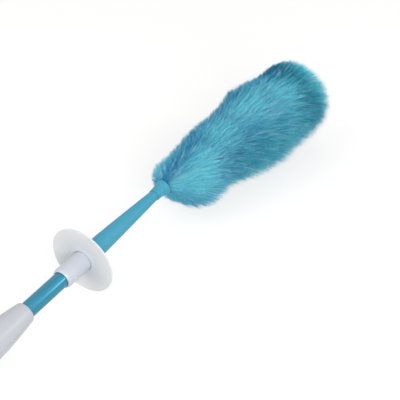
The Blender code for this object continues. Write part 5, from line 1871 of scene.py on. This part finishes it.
@dataclass
class Studio:
    """A pale floor, soft lamps and the camera at the photograph's angle."""

    axis: DusterAxis
    image_size: float = 400.0
    focal_pixels: float = 1300.0
    guard_pixel: tuple[float, float] = (82.5, 260.3)
    guard_depth: float = 1.674
    yaw: float = 34.079
    pitch: float = 33.517
    sensor: float = 36.0
    ambient: float = 0.50
    floor_bounce: float = 0.60
    floor_shown: Colour = (0.46, 0.455, 0.45)
    floor_glow: float = 0.64
    floor_half: float = 6.0
    lamps: tuple[Lamp, ...] = (
        Lamp("key", (-1.25, -1.55, 1.10), (0.1, 0.0, 0.05), 1.3, 34.0),
        Lamp("fill", (-0.95, 0.85, 1.5), (0.05, 0.0, 0.05), 1.4, 8.0),
        Lamp("low", (-1.5, 0.70, 0.40), (0.0, 0.0, 0.05), 0.8, 2.4),
        Lamp("streak", (1.25, -1.45, 0.95), (0.0, 0.0, 0.05), 0.7, 5.0),
    )

    def camera(self) -> None:
        """Place the camera so that the guard's centre falls on its pixel at its depth.

        With forward, right and down as the camera's axes, a pixel (u, v) lies along
        forward + (u - c) / f right + (v - c) / f down, c being half the image's size.
        """
        yaw, pitch = math.radians(self.yaw), math.radians(self.pitch)
        forward = np.array(
            [math.cos(pitch) * math.cos(yaw), math.cos(pitch) * math.sin(yaw), -math.sin(pitch)]
        )
        right = np.array([math.sin(yaw), -math.cos(yaw), 0.0])
        down = np.cross(forward, right)
        u, v = ((pixel - self.image_size / 2) / self.focal_pixels for pixel in self.guard_pixel)
        place = self.axis.origin - self.guard_depth * (forward + u * right + v * down)
        data = bpy.data.cameras.new("photo_camera")
        data.sensor_width = self.sensor
        data.lens = self.focal_pixels / self.image_size * self.sensor
        data.clip_start = 0.01
        camera = bpy.data.objects.new("photo_camera", data)
        turn = Matrix(np.column_stack([right, -down, -forward]).tolist())
        camera.matrix_world = Matrix.Translation(place.tolist()) @ turn.to_4x4()
        bpy.context.scene.collection.objects.link(camera)
        bpy.context.scene.camera = camera

    def seen_directly(self, tree: bpy.types.NodeTree) -> Socket:
        """Return a socket that is 1 on camera, glossy and transmission rays.

        Args:
            tree: The node tree that gets the nodes.

        Returns:
            The socket.
        """
        path = tree.nodes.new("ShaderNodeLightPath")
        first = tree.nodes.new("ShaderNodeMath")
        second = tree.nodes.new("ShaderNodeMath")
        first.operation = "MAXIMUM"
        second.operation = "MAXIMUM"
        tree.links.new(path.outputs["Is Camera Ray"], first.inputs[0])
        tree.links.new(path.outputs["Is Glossy Ray"], first.inputs[1])
        tree.links.new(first.outputs["Value"], second.inputs[0])
        tree.links.new(path.outputs["Is Transmission Ray"], second.inputs[1])
        return second.outputs["Value"]

    def world(self) -> None:
        """Surround the scene with white that lights the duster at the ambient strength."""
        world = bpy.data.worlds.new("studio")
        bpy.context.scene.world = world
        world.use_nodes = True
        tree = world.node_tree
        tree.nodes.clear()
        out = tree.nodes.new("ShaderNodeOutputWorld")
        mix = tree.nodes.new("ShaderNodeMixShader")
        lit = tree.nodes.new("ShaderNodeBackground")
        shown = tree.nodes.new("ShaderNodeBackground")
        lit.inputs["Strength"].default_value = self.ambient
        lit.inputs["Color"].default_value = WHITE
        shown.inputs["Color"].default_value = WHITE
        tree.links.new(self.seen_directly(tree), mix.inputs["Fac"])
        tree.links.new(lit.outputs["Background"], mix.inputs[1])
        tree.links.new(shown.outputs["Background"], mix.inputs[2])
        tree.links.new(mix.outputs["Shader"], out.inputs["Surface"])

    def floor(self) -> None:
        """Lay a pale floor that shows white and keeps the duster's shadow."""
        material = bpy.data.materials.new("floor_pale")
        material.use_nodes = True
        tree = material.node_tree
        tree.nodes.clear()
        out = tree.nodes.new("ShaderNodeOutputMaterial")
        mix = tree.nodes.new("ShaderNodeMixShader")
        add = tree.nodes.new("ShaderNodeAddShader")
        matte = tree.nodes.new("ShaderNodeBsdfDiffuse")
        pale = tree.nodes.new("ShaderNodeBsdfDiffuse")
        glow = tree.nodes.new("ShaderNodeEmission")
        matte.inputs["Color"].default_value = (*[self.floor_bounce] * 3, 1.0)
        pale.inputs["Color"].default_value = (*self.floor_shown, 1.0)
        glow.inputs["Color"].default_value = WHITE
        glow.inputs["Strength"].default_value = self.floor_glow
        tree.links.new(matte.outputs["BSDF"], mix.inputs[1])
        tree.links.new(pale.outputs["BSDF"], add.inputs[0])
        tree.links.new(glow.outputs["Emission"], add.inputs[1])
        tree.links.new(add.outputs["Shader"], mix.inputs[2])
        tree.links.new(self.seen_directly(tree), mix.inputs["Fac"])
        tree.links.new(mix.outputs["Shader"], out.inputs["Surface"])
        half = self.floor_half
        corners = [(-half, -half, 0.0), (half, -half, 0.0), (half, half, 0.0), (-half, half, 0.0)]
        mesh = bpy.data.meshes.new("floor")
        mesh.from_pydata(corners, [], [(0, 1, 2, 3)])
        mesh.materials.append(material)
        floor = bpy.data.objects.new("floor", mesh)
        bpy.context.scene.collection.objects.link(floor)

    def build(self) -> None:
        """Build the whole studio."""
        self.camera()
        self.floor()
        self.world()
        for lamp in self.lamps:
            lamp.hang()
        bpy.context.scene.view_settings.view_transform = "Standard"


def main() -> None:
    """Build the duster's looks and its studio."""
    logging.basicConfig(level=logging.INFO, format="%(message)s")
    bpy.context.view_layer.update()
    joints = {joint["name"]: joint for joint in frame["joints"]}
    axis = DusterAxis.through_joint(joints["head_spin"], DRIVER_START)
    wardrobe = Wardrobe(axis)
    Handle(axis).build(wardrobe)
    Barrel(axis).build(wardrobe)
    Neck(axis).build(wardrobe)
    FibreHead(axis).build(wardrobe)
    Cells(axis).build(wardrobe)
    InnerWorks(wardrobe).build(frame)
    Studio(axis).build()


if __name__ == "__main__":
    main()
